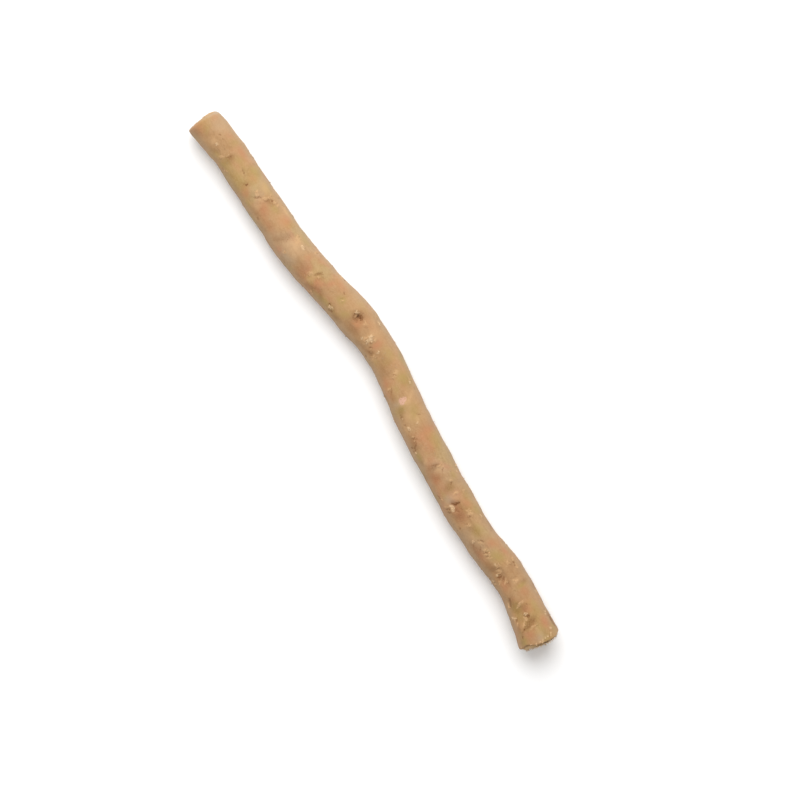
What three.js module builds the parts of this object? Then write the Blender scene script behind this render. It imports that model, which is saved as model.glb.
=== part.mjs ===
// Miswak stick: a length of root, cut off at both ends and lying on a table.
// Units are millimetres. The table is the plane z = 0, +X runs along the stick from its worn end
// to its freshly cut end, and +Z is up. The origin lies on the table under the middle of the stick.
import * as THREE from 'three';
import { LoftGeometry } from 'three/addons/geometries/LoftGeometry.js';
import { mergeVertices } from 'three/addons/utils/BufferGeometryUtils.js';

const { degToRad } = THREE.MathUtils;

// Sizes that drive the whole stick
const LENGTH = 150;
const THICKNESS = 8.3;
const FLATTENING = 0.97;
const RUBBED_OFF = 0.16;

// How finely the surface is faceted: the step between rings is short as far as a place's margin
const SIDES = 36;
const PLAIN_STEP = 2;
const SCAR_STEP = 0.85;
const SCAR_MARGIN = 1.6;

// The way the stick runs. Each stop says where it is along the stick, as a share of the length from
// the middle, how far aside its middle lies, how high its underside is before its lowest places are
// rubbed off, and how thick it is, as a share of the usual thickness. The cut leans, so the stick is
// longest on one side of it, and the middle of the cut comes short of the full length.
const COURSE = [
  { at: -0.5, aside: -2.6, lift: 0.9, girth: 1.025 },
  { at: -0.465, aside: -1.9, lift: 0.7, girth: 1.03 },
  { at: -0.426, aside: -1.35, lift: 0.35, girth: 1.005 },
  { at: -0.378, aside: -1.35, lift: 0.05, girth: 0.99 },
  { at: -0.334, aside: -1.2, lift: 0, girth: 1.045 },
  { at: -0.296, aside: -1.05, lift: 0.1, girth: 1.005 },
  { at: -0.257, aside: -1, lift: 0.35, girth: 1.06 },
  { at: -0.219, aside: -0.35, lift: 0.5, girth: 1.045 },
  { at: -0.178, aside: 0.55, lift: 0.45, girth: 1.04 },
  { at: -0.14, aside: 1.6, lift: 0.25, girth: 1.06 },
  { at: -0.097, aside: 2.6, lift: 0, girth: 1.09 },
  { at: -0.066, aside: 3.1, lift: 0, girth: 1.025 },
  { at: -0.025, aside: 3.2, lift: 0.15, girth: 0.96 },
  { at: 0.01, aside: 2.65, lift: 0.35, girth: 0.98 },
  { at: 0.052, aside: 1.65, lift: 0.5, girth: 0.98 },
  { at: 0.1, aside: 0.6, lift: 0.6, girth: 1.02 },
  { at: 0.15, aside: 0, lift: 0.55, girth: 1.01 },
  { at: 0.195, aside: -0.55, lift: 0.35, girth: 1.005 },
  { at: 0.243, aside: -1.05, lift: 0.1, girth: 1.015 },
  { at: 0.291, aside: -1.25, lift: 0, girth: 0.98 },
  { at: 0.33, aside: -0.9, lift: 0, girth: 1.0 },
  { at: 0.367, aside: -0.35, lift: 0.1, girth: 1.015 },
  { at: 0.402, aside: -0.45, lift: 0.25, girth: 1.02 },
  { at: 0.418, aside: -0.65, lift: 0.4, girth: 1.035 },
  { at: 0.434, aside: -1.05, lift: 0.6, girth: 1.065 },
  { at: 0.47, aside: -2, lift: 1.1, girth: 1.21 },
  { at: 0.4955, aside: -2.55, lift: 1.4, girth: 1.28 },
];

// Places where the surface is dented or swollen. A place is so many millimetres along from the
// middle and so many degrees round from the top towards +Y, and reaches so far along and round.
// Its depth is taken off in the middle, or added where it is negative, and its lip stands up round it.
const LIP_AT = 1.35;
const LIP_BREADTH = 0.35;
const PLACES = [
  // creases across the bark in the first half
  { along: -51.5, round: -4, reachAlong: 0.9, reachRound: 2.0, depth: 0.16, lip: 0.08 },
  { along: -39.6, round: 3, reachAlong: 1.1, reachRound: 2.4, depth: 0.15, lip: 0.05 },
  { along: -27.8, round: 5, reachAlong: 1.0, reachRound: 2.6, depth: 0.16, lip: 0.08 },
  // the bud scar on the knee, the swellings on both sides of it, and the lifted bark just past it
  { along: -14.6, round: 6, reachAlong: 1.35, reachRound: 1.4, depth: 0.75, lip: 0.2 },
  { along: -14.4, round: 78, reachAlong: 3.0, reachRound: 2.6, depth: -0.2, lip: 0 },
  { along: -12.6, round: -88, reachAlong: 2.0, reachRound: 2.2, depth: -0.22, lip: 0 },
  { along: -8.7, round: -9, reachAlong: 1.0, reachRound: 1.8, depth: -0.2, lip: 0 },
  // a crease, and the torn twig scar with the bark heaped up beside it
  { along: 25.7, round: 5, reachAlong: 0.9, reachRound: 1.6, depth: 0.15, lip: 0.06 },
  { along: 35.5, round: -12, reachAlong: 1.2, reachRound: 1.3, depth: 0.42, lip: 0.1 },
  { along: 36.3, round: -30, reachAlong: 1.3, reachRound: 0.9, depth: -0.26, lip: 0 },
  // the leaf scar, with the knob and the pit on the far side of it
  { along: 55.1, round: -22, reachAlong: 2.1, reachRound: 1.4, depth: 0.34, lip: 0.12 },
  { along: 55.4, round: 80, reachAlong: 3.0, reachRound: 2.0, depth: -0.2, lip: 0 },
  { along: 54.8, round: 40, reachAlong: 0.9, reachRound: 0.8, depth: 0.2, lip: 0.05 },
  { along: 62.4, round: -50, reachAlong: 1.3, reachRound: 0.7, depth: 0.32, lip: 0.05 },
  // the oval knot near the cut end, and the bud that is left in it
  { along: 66.8, round: -20, reachAlong: 2.3, reachRound: 1.8, depth: 0.45, lip: 0.18 },
  { along: 66.5, round: -7, reachAlong: 0.75, reachRound: 0.75, depth: -0.6, lip: 0 },
  // old scars and creases on the far sides and underneath
  { along: -66.0, round: -140, reachAlong: 1.0, reachRound: 2.0, depth: 0.15, lip: 0.07 },
  { along: -33.0, round: 138, reachAlong: 1.5, reachRound: 1.5, depth: 0.42, lip: 0.16 },
  { along: 12.0, round: -128, reachAlong: 1.6, reachRound: 1.4, depth: 0.42, lip: 0.15 },
  { along: 30.0, round: 115, reachAlong: 1.0, reachRound: 2.4, depth: 0.15, lip: 0.08 },
];

// The soft waves of the bark: how high, how many to the length, how many times round, and the start
const WAVES = [
  { height: 0.07, along: 11, round: 2, start: 0.4 },
  { height: 0.06, along: -17, round: 3, start: 1.9 },
  { height: 0.04, along: 29, round: 1, start: 3.1 },
  { height: 0.03, along: -41, round: 4, start: 5.2 },
];

// The two ends. A rim goes from the bark inwards: the share of the radius that is left, how far the
// surface is set back from the cut there, in millimetres, how much of the end's damage it takes, and
// how much of the height of the core's tongue it has. Each damage sets one side of the rim back
// further, or less far where it is negative, so many degrees round from the top towards +Y, and the
// tongue is where the core stands out furthest. A cut that leans stands out further at its top than
// at its foot, by so many degrees.
const WORN_END = {
  outwards: -1,
  lean: 0,
  damages: [
    { depth: 1.25, round: 70, reach: 45 },
    { depth: -0.25, round: -90, reach: 50 },
  ],
  tongue: { height: 0, round: 0, reach: 90 },
  rim: [
    { share: 1, back: 0.8, takes: 1, stands: 0 },
    { share: 0.96, back: 0.42, takes: 0.9, stands: 0 },
    { share: 0.88, back: 0.18, takes: 0.7, stands: 0 },
    { share: 0.72, back: 0.06, takes: 0.4, stands: 0 },
    { share: 0.45, back: 0, takes: 0.1, stands: 0 },
  ],
};
const CUT_END = {
  outwards: 1,
  lean: 8,
  damages: [
    { depth: 1.2, round: 90, reach: 30 },
    { depth: 0.8, round: -95, reach: 25 },
    { depth: 1.1, round: -42, reach: 22 },
  ],
  tongue: { height: 0.35, round: 10, reach: 36 },
  rim: [
    { share: 1, back: 0.5, takes: 1, stands: 0 },
    { share: 0.975, back: 0.3, takes: 1, stands: 0 },
    { share: 0.89, back: 0.28, takes: 1, stands: 0 },
    { share: 0.865, back: 0.4, takes: 1, stands: -0.6 },
    { share: 0.835, back: 0.1, takes: 0.3, stands: 1 },
    { share: 0.5, back: 0, takes: 0, stands: 0.4 },
  ],
};

const START = COURSE[0].at * LENGTH;
const END = COURSE.at(-1).at * LENGTH;

const course = new THREE.CubicInterpolant(
  COURSE.map((stop) => stop.at * LENGTH),
  COURSE.flatMap((stop) => [stop.aside, stop.lift, stop.girth]),
  3,
  [0, 0, 0],
);

// Half the width and half the height of the stick, and the middle of its section. It swells sideways
// more than upwards.
function section(along) {
  const [aside, lift, girth] = course.evaluate(along);
  const halfWidth = (THICKNESS * girth) / 2;
  const halfHeight = (THICKNESS * FLATTENING * Math.sqrt(girth)) / 2;
  return { halfWidth, halfHeight, middle: new THREE.Vector3(along, aside, lift - RUBBED_OFF + halfHeight) };
}

// The directions of a section: forwards along the stick, up, and to its +Y side
function directions(along) {
  const nudge = 0.5;
  const before = section(Math.max(along - nudge, START)).middle;
  const after = section(Math.min(along + nudge, END)).middle;
  const forwards = after.sub(before).normalize();
  const side = new THREE.Vector3(0, 0, 1).cross(forwards).normalize();
  const up = forwards.clone().cross(side);
  return { forwards, up, side };
}

// The angle from one way round to another, in radians, by the shorter way
function turnBetween(turn, degrees) {
  const away = turn - degToRad(degrees);
  return Math.atan2(Math.sin(away), Math.cos(away));
}

// How far the surface stands out from the plain section, in millimetres
function relief(along, turn, radius) {
  let height = 0;
  for (const wave of WAVES) {
    const phase = (2 * Math.PI * wave.along * along) / LENGTH + wave.round * turn + wave.start;
    height += wave.height * Math.sin(phase);
  }
  for (const place of PLACES) {
    const alongAway = (along - place.along) / place.reachAlong;
    const roundAway = (radius * turnBetween(turn, place.round)) / place.reachRound;
    const away = Math.hypot(alongAway, roundAway);
    const bowl = Math.exp(-(away ** 3));
    const lip = Math.exp(-(((away - LIP_AT) / LIP_BREADTH) ** 2));
    height += place.lip * lip - place.depth * bowl;
  }
  return height;
}

// How much of a bump round the rim is left so far away from its middle
function fade(turn, { round, reach }) {
  return Math.exp(-((turnBetween(turn, round) / degToRad(reach)) ** 2));
}

// How far an end's rim is set back from the cut at a turn, at a height above the middle of the end
function setBack(turn, height, rim, ending) {
  const lean = Math.tan(degToRad(ending.lean)) * height;
  const damage = ending.damages.reduce((sum, place) => sum + place.depth * fade(turn, place), 0);
  const tongue = ending.tongue.height * fade(turn, ending.tongue);
  return rim.back - lean + rim.takes * damage - rim.stands * tongue;
}

// One ring of the surface: a whole section, or one that a rim draws in towards the middle of an end.
// Where it would reach below the table it is rubbed flat.
function ring(along, rim, ending) {
  const { halfWidth, halfHeight, middle } = section(along);
  const { forwards, up, side } = directions(along);
  const share = rim ? rim.share : 1;
  const points = [];
  for (let i = 0; i < SIDES; i += 1) {
    const turn = (-2 * Math.PI * i) / SIDES;
    const scale = share * (1 + relief(along, turn, halfWidth) / halfWidth);
    const height = Math.cos(turn) * halfHeight * scale;
    const point = middle.clone();
    point.addScaledVector(up, height);
    point.addScaledVector(side, Math.sin(turn) * halfWidth * scale);
    if (rim) {
      point.addScaledVector(forwards, -ending.outwards * setBack(turn, height, rim, ending));
    }
    point.z = Math.max(point.z, 0);
    points.push(point);
  }
  return points;
}

// The rings run close together where the surface has a place to show, and further apart elsewhere
function ringsAlong(start, end) {
  const rings = [];
  let along = start;
  while (along < end) {
    rings.push(ring(along));
    const nearPlace = PLACES.some((place) => Math.abs(place.along - along) < place.reachAlong * SCAR_MARGIN);
    along += nearPlace ? SCAR_STEP : PLAIN_STEP;
  }
  return rings;
}

// The closed surface of the whole stick, with its shared corners merged
function stickGeometry() {
  const wornEnd = WORN_END.rim.toReversed().map((rim) => ring(START, rim, WORN_END));
  const cutEnd = CUT_END.rim.map((rim) => ring(END, rim, CUT_END));
  const sections = [...wornEnd, ...ringsAlong(START + 2 * PLAIN_STEP, END - PLAIN_STEP), ...cutEnd];
  const loft = new LoftGeometry(sections, { capStart: true, capEnd: true });
  const surface = new THREE.BufferGeometry();
  surface.setAttribute('position', loft.getAttribute('position'));
  surface.setIndex(loft.getIndex());
  const closed = mergeVertices(surface);
  closed.computeBoundingBox();
  const middle = closed.boundingBox.getCenter(new THREE.Vector3());
  closed.translate(-middle.x, -middle.y, 0);
  closed.computeVertexNormals();
  return closed;
}

const bark = new THREE.MeshStandardMaterial({ name: 'bark', color: 0xc8a073, roughness: 0.85, metalness: 0 });
const stick = new THREE.Mesh(stickGeometry(), bark);
stick.name = 'stick';

const miswak = new THREE.Group();
miswak.name = 'miswak_stick';
miswak.add(stick);

export default miswak;
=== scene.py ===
"""The looks of a miswak stick: its bark with all its scars, its two ends, and the table it lies on.

Lengths are in metres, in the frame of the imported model, but those of marks, flakes, fibres and smooth
noise are given in millimetres. A place on the bark is so many millimetres along the stick from its
middle, and so many degrees round it from the top towards the +Y side.
"""

import math
import random
from collections import namedtuple
from functools import partial

import bmesh
import bpy
import numpy as np
from bpy.props import FloatProperty, FloatVectorProperty, IntProperty, PointerProperty
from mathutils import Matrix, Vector, noise


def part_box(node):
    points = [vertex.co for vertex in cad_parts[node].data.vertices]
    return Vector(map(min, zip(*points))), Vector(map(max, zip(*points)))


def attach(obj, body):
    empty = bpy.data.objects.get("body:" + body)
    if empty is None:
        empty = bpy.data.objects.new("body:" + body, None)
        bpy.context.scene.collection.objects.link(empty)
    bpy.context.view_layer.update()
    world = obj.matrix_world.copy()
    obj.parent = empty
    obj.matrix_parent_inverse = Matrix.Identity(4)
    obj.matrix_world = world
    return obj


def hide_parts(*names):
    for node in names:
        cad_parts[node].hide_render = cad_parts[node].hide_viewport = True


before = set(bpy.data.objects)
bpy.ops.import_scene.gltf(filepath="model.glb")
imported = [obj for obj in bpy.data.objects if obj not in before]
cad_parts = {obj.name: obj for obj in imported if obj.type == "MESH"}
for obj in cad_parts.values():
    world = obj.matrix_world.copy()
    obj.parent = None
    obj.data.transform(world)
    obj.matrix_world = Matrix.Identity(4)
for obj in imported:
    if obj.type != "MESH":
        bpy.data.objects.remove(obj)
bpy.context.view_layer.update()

bl_info = {
    "name": "Miswak stick",
    "version": (1, 0, 0),
    "blender": (4, 5, 0),
    "location": "3D View > Sidebar > Miswak",
    "description": "Dresses a stick of miswak root with bark, scars, cut ends and frayed fibres",
    "category": "Object",
}

MM = 0.001
NODE = "stick"
BODY = "root"
LOW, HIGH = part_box(NODE)


# Settings


def srgb(red, green, blue):
    """A colour given as it shows on a screen, from 0 to 255, in the linear numbers that shaders use."""
    shares = [value / 255 for value in (red, green, blue)]
    return tuple(s / 12.92 if s <= 0.04045 else ((s + 0.055) / 1.055) ** 2.4 for s in shares)


colour = partial(FloatVectorProperty, subtype="COLOR", min=0, max=1)


class StickSettings(bpy.types.PropertyGroup):
    """Sizes and colours of the stick."""

    tan: colour(
        name="Bark",
        description="The usual tan of the bark",
        default=srgb(165, 128, 88),
    )
    olive: colour(
        name="Olive patches",
        description="Patches of bark that are greener than the rest",
        default=srgb(157, 132, 77),
    )
    rosy: colour(
        name="Rosy patches",
        description="Patches of bark that are redder than the rest",
        default=srgb(172, 119, 83),
    )
    # Also the colour of the painted sheen on both flanks
    grey: colour(
        name="Grey patches",
        description="Patches of bark that are weathered grey",
        default=srgb(166, 144, 118),
    )
    light: colour(
        name="Light streaks",
        description="Streaks and patches where the bark is scuffed",
        default=srgb(192, 154, 112),
    )
    pale: colour(
        name="Pale flecks",
        description="Flecks and flakes where the outer bark is torn off",
        default=srgb(202, 172, 134),
    )
    # Partly painted shade: the colour also darkens scratches and pits where shade falls in them
    dark: colour(
        name="Dark brown",
        description="Pits, scratches and the shaded brown patches of the bark",
        default=srgb(112, 70, 34),
    )
    # Painted shade: the colour that stands for the shade deep in holes and in the crack of the cut
    crevice_shade: colour(
        name="Crevice",
        description="The nearly black brown of holes, and between the bark and the wood of the cut",
        default=srgb(58, 36, 20),
    )
    raw: colour(
        name="Raw abrasion",
        description="Where the bark is rubbed down to its pink inner side",
        default=srgb(200, 156, 136),
    )
    wood: colour(
        name="Wood",
        description="The wood that shows on the two ends",
        default=srgb(196, 166, 120),
    )
    lumps: FloatProperty(
        name="Lumps",
        description="How far the soft lumps of the bark stand out",
        unit="LENGTH",
        min=0,
        max=0.3 * MM,
        default=0.05 * MM,
    )
    wrinkles: FloatProperty(
        name="Wrinkles",
        description="How deep the fine wrinkles along and across the bark are",
        unit="LENGTH",
        min=0,
        max=0.2 * MM,
        default=0.035 * MM,
    )
    grain: FloatProperty(
        name="Grain",
        description="How high the finest grain of the bark stands",
        unit="LENGTH",
        min=0,
        max=0.1 * MM,
        default=0.012 * MM,
    )
    far_marks: IntProperty(
        name="Marks on the far side",
        description="How many small marks are strewn over the underside and the flanks",
        min=0,
        max=1000,
        default=420,
    )
    fuzz: IntProperty(
        name="Fuzz",
        description="How many short loose hairs stand on the bark",
        min=0,
        max=3000,
        default=600,
    )


class StageSettings(bpy.types.PropertyGroup):
    """The floor, the lights and the camera."""

    floor: colour(
        name="Floor",
        description="Colour of the table top",
        default=(0.9, 0.9, 0.9),
    )
    key_power: FloatProperty(
        name="Key light",
        description="Power of the large soft light over the worn end, on the +Y side",
        unit="POWER",
        min=0,
        default=6.4,
    )
    sky: FloatProperty(
        name="Room light",
        description="Strength of the even white light from all round",
        min=0,
        default=0.65,
    )
    view_width: FloatProperty(
        name="View width",
        description="How much of the table the picture takes in",
        unit="LENGTH",
        min=0.05,
        default=191.2 * MM,
    )
    lens: FloatProperty(
        name="Lens",
        description="Focal length of the camera",
        unit="CAMERA",
        min=20,
        default=300,
    )


# The stick's own surface: how far along it a point is, how far round, and how far out


LINE_STEP = 1.0 * MM
LINE_REACH = 2.6 * MM
LINE_INSET = 5.0 * MM
LINE_ROUNDS = 3


def middle_line(points):
    """The line through the middle of the stick, in steps along X, run out straight past its ends."""
    steps = int((HIGH.x - LOW.x - 2 * LINE_INSET) / LINE_STEP)
    line = np.zeros((steps, 3))
    line[:, 0] = np.linspace(LOW.x + LINE_INSET, HIGH.x - LINE_INSET, steps)
    line[:, 2] = points[:, 2].mean()
    for _ in range(LINE_ROUNDS):
        ways = np.gradient(line, axis=0)
        ways /= np.linalg.norm(ways, axis=1)[:, None]
        middles = []
        for spot, way in zip(line, ways):
            weight = np.exp(-(((points - spot) @ way) / LINE_REACH) ** 2)
            middle = (weight[:, None] * points).sum(0) / weight.sum()
            middles.append(middle + way * (spot[0] - middle[0]) / way[0])
        line = np.array(middles)
    inset = int(LINE_INSET / LINE_STEP) + 1
    return np.vstack([2 * line[0] - line[inset], line, 2 * line[-1] - line[-1 - inset]])


def vectors(items, name):
    """One vector for each of a mesh's points or faces, as an array of rows."""
    flat = np.zeros(len(items) * 3)
    items.foreach_get(name, flat)
    return flat.reshape(-1, 3)


LINE = middle_line(vectors(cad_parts[NODE].data.vertices, "co"))


def tip_of(inner, outer):
    """Where the stick's middle line leaves it past an inner point, and the way it goes there."""
    way = (Vector(outer) - Vector(inner)).normalized()
    hit, place, _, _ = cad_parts[NODE].ray_cast(Vector(inner), way)
    if not hit:
        raise RuntimeError("the stick's middle line doesn't leave it at an end")
    return place, way


WORN_TIP = tip_of(LINE[1], LINE[0])
CUT_TIP = tip_of(LINE[-2], LINE[-1])
TIPS = (WORN_TIP, CUT_TIP)


def middle_at(along):
    """The middle of the stick at each distance along it, in metres."""
    return np.stack([np.interp(along, LINE[:, 0], LINE[:, axis]) for axis in range(3)], -1)


Spots = namedtuple("Spots", "along turn radius")


def spots_on_bark(points):
    """Where points lie on the stick: millimetres along, radians round from the top, millimetres out."""
    away = points - middle_at(points[:, 0])
    turn = np.arctan2(away[:, 1], away[:, 2])
    return Spots(points[:, 0] / MM, turn, np.hypot(away[:, 1], away[:, 2]) / MM)


def wrapped(turn):
    """The same turn, from half a turn back to half a turn on."""
    return (turn + math.pi) % (2 * math.pi) - math.pi


# Marks on the bark


# What a kind of mark does where it is strongest: the tint it gives the bark and how fully, and how
# far it stands out, in millimetres. Its edge is the sharper the higher the last number is.
Kind = namedtuple("Kind", "tint most height edge")
KINDS = {
    "rosy": Kind("rosy", 0.75, 0, 2.0),
    "olive": Kind("olive", 0.75, 0, 2.0),
    "grey": Kind("grey", 0.5, 0, 2.0),
    "light": Kind("light", 0.42, 0.01, 2.0),
    "brown": Kind("brown", 0.26, -0.02, 2.4),
    "fleck": Kind("fleck", 0.9, 0.04, 2.4),
    "stroke": Kind("stroke", 1.0, 0.04, 2.2),
    # scratches and pits are darkened partly with painted shade of their creases and hollows, holes wholly
    "scratch": Kind("scratch", 0.9, -0.05, 2.2),
    "pit": Kind("pit", 1.1, -0.1, 2.2),
    "shaded_hole": Kind("shaded_hole", 1.1, -0.08, 2.2),
    "raw": Kind("raw", 1.2, -0.03, 3.0),
}

# The tints that fade out softly, with the colours that they give, and those with a torn edge, with
# their colours and how fully they hide the bark
SOFT_TINTS = {"rosy": "rosy", "olive": "olive", "grey": "grey", "light": "light", "brown": "dark"}
TORN_TINTS = {
    "stroke": ("light", 0.6),
    # the dark of scratches and pits is partly painted shade of their creases and hollows; that of holes
    # is painted shade
    "scratch": ("dark", 0.5),
    "pit": ("dark", 0.95),
    "shaded_hole": ("crevice_shade", 0.5),
    "raw": ("raw", 0.75),
    "fleck": ("pale", 0.65),
}

# A mark's place on the bark, its length and breadth in millimetres, the degrees that its length
# is turned from the stick's own towards +Y, and its strength
Mark = namedtuple("Mark", "kind along round length breadth turn strength")

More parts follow.
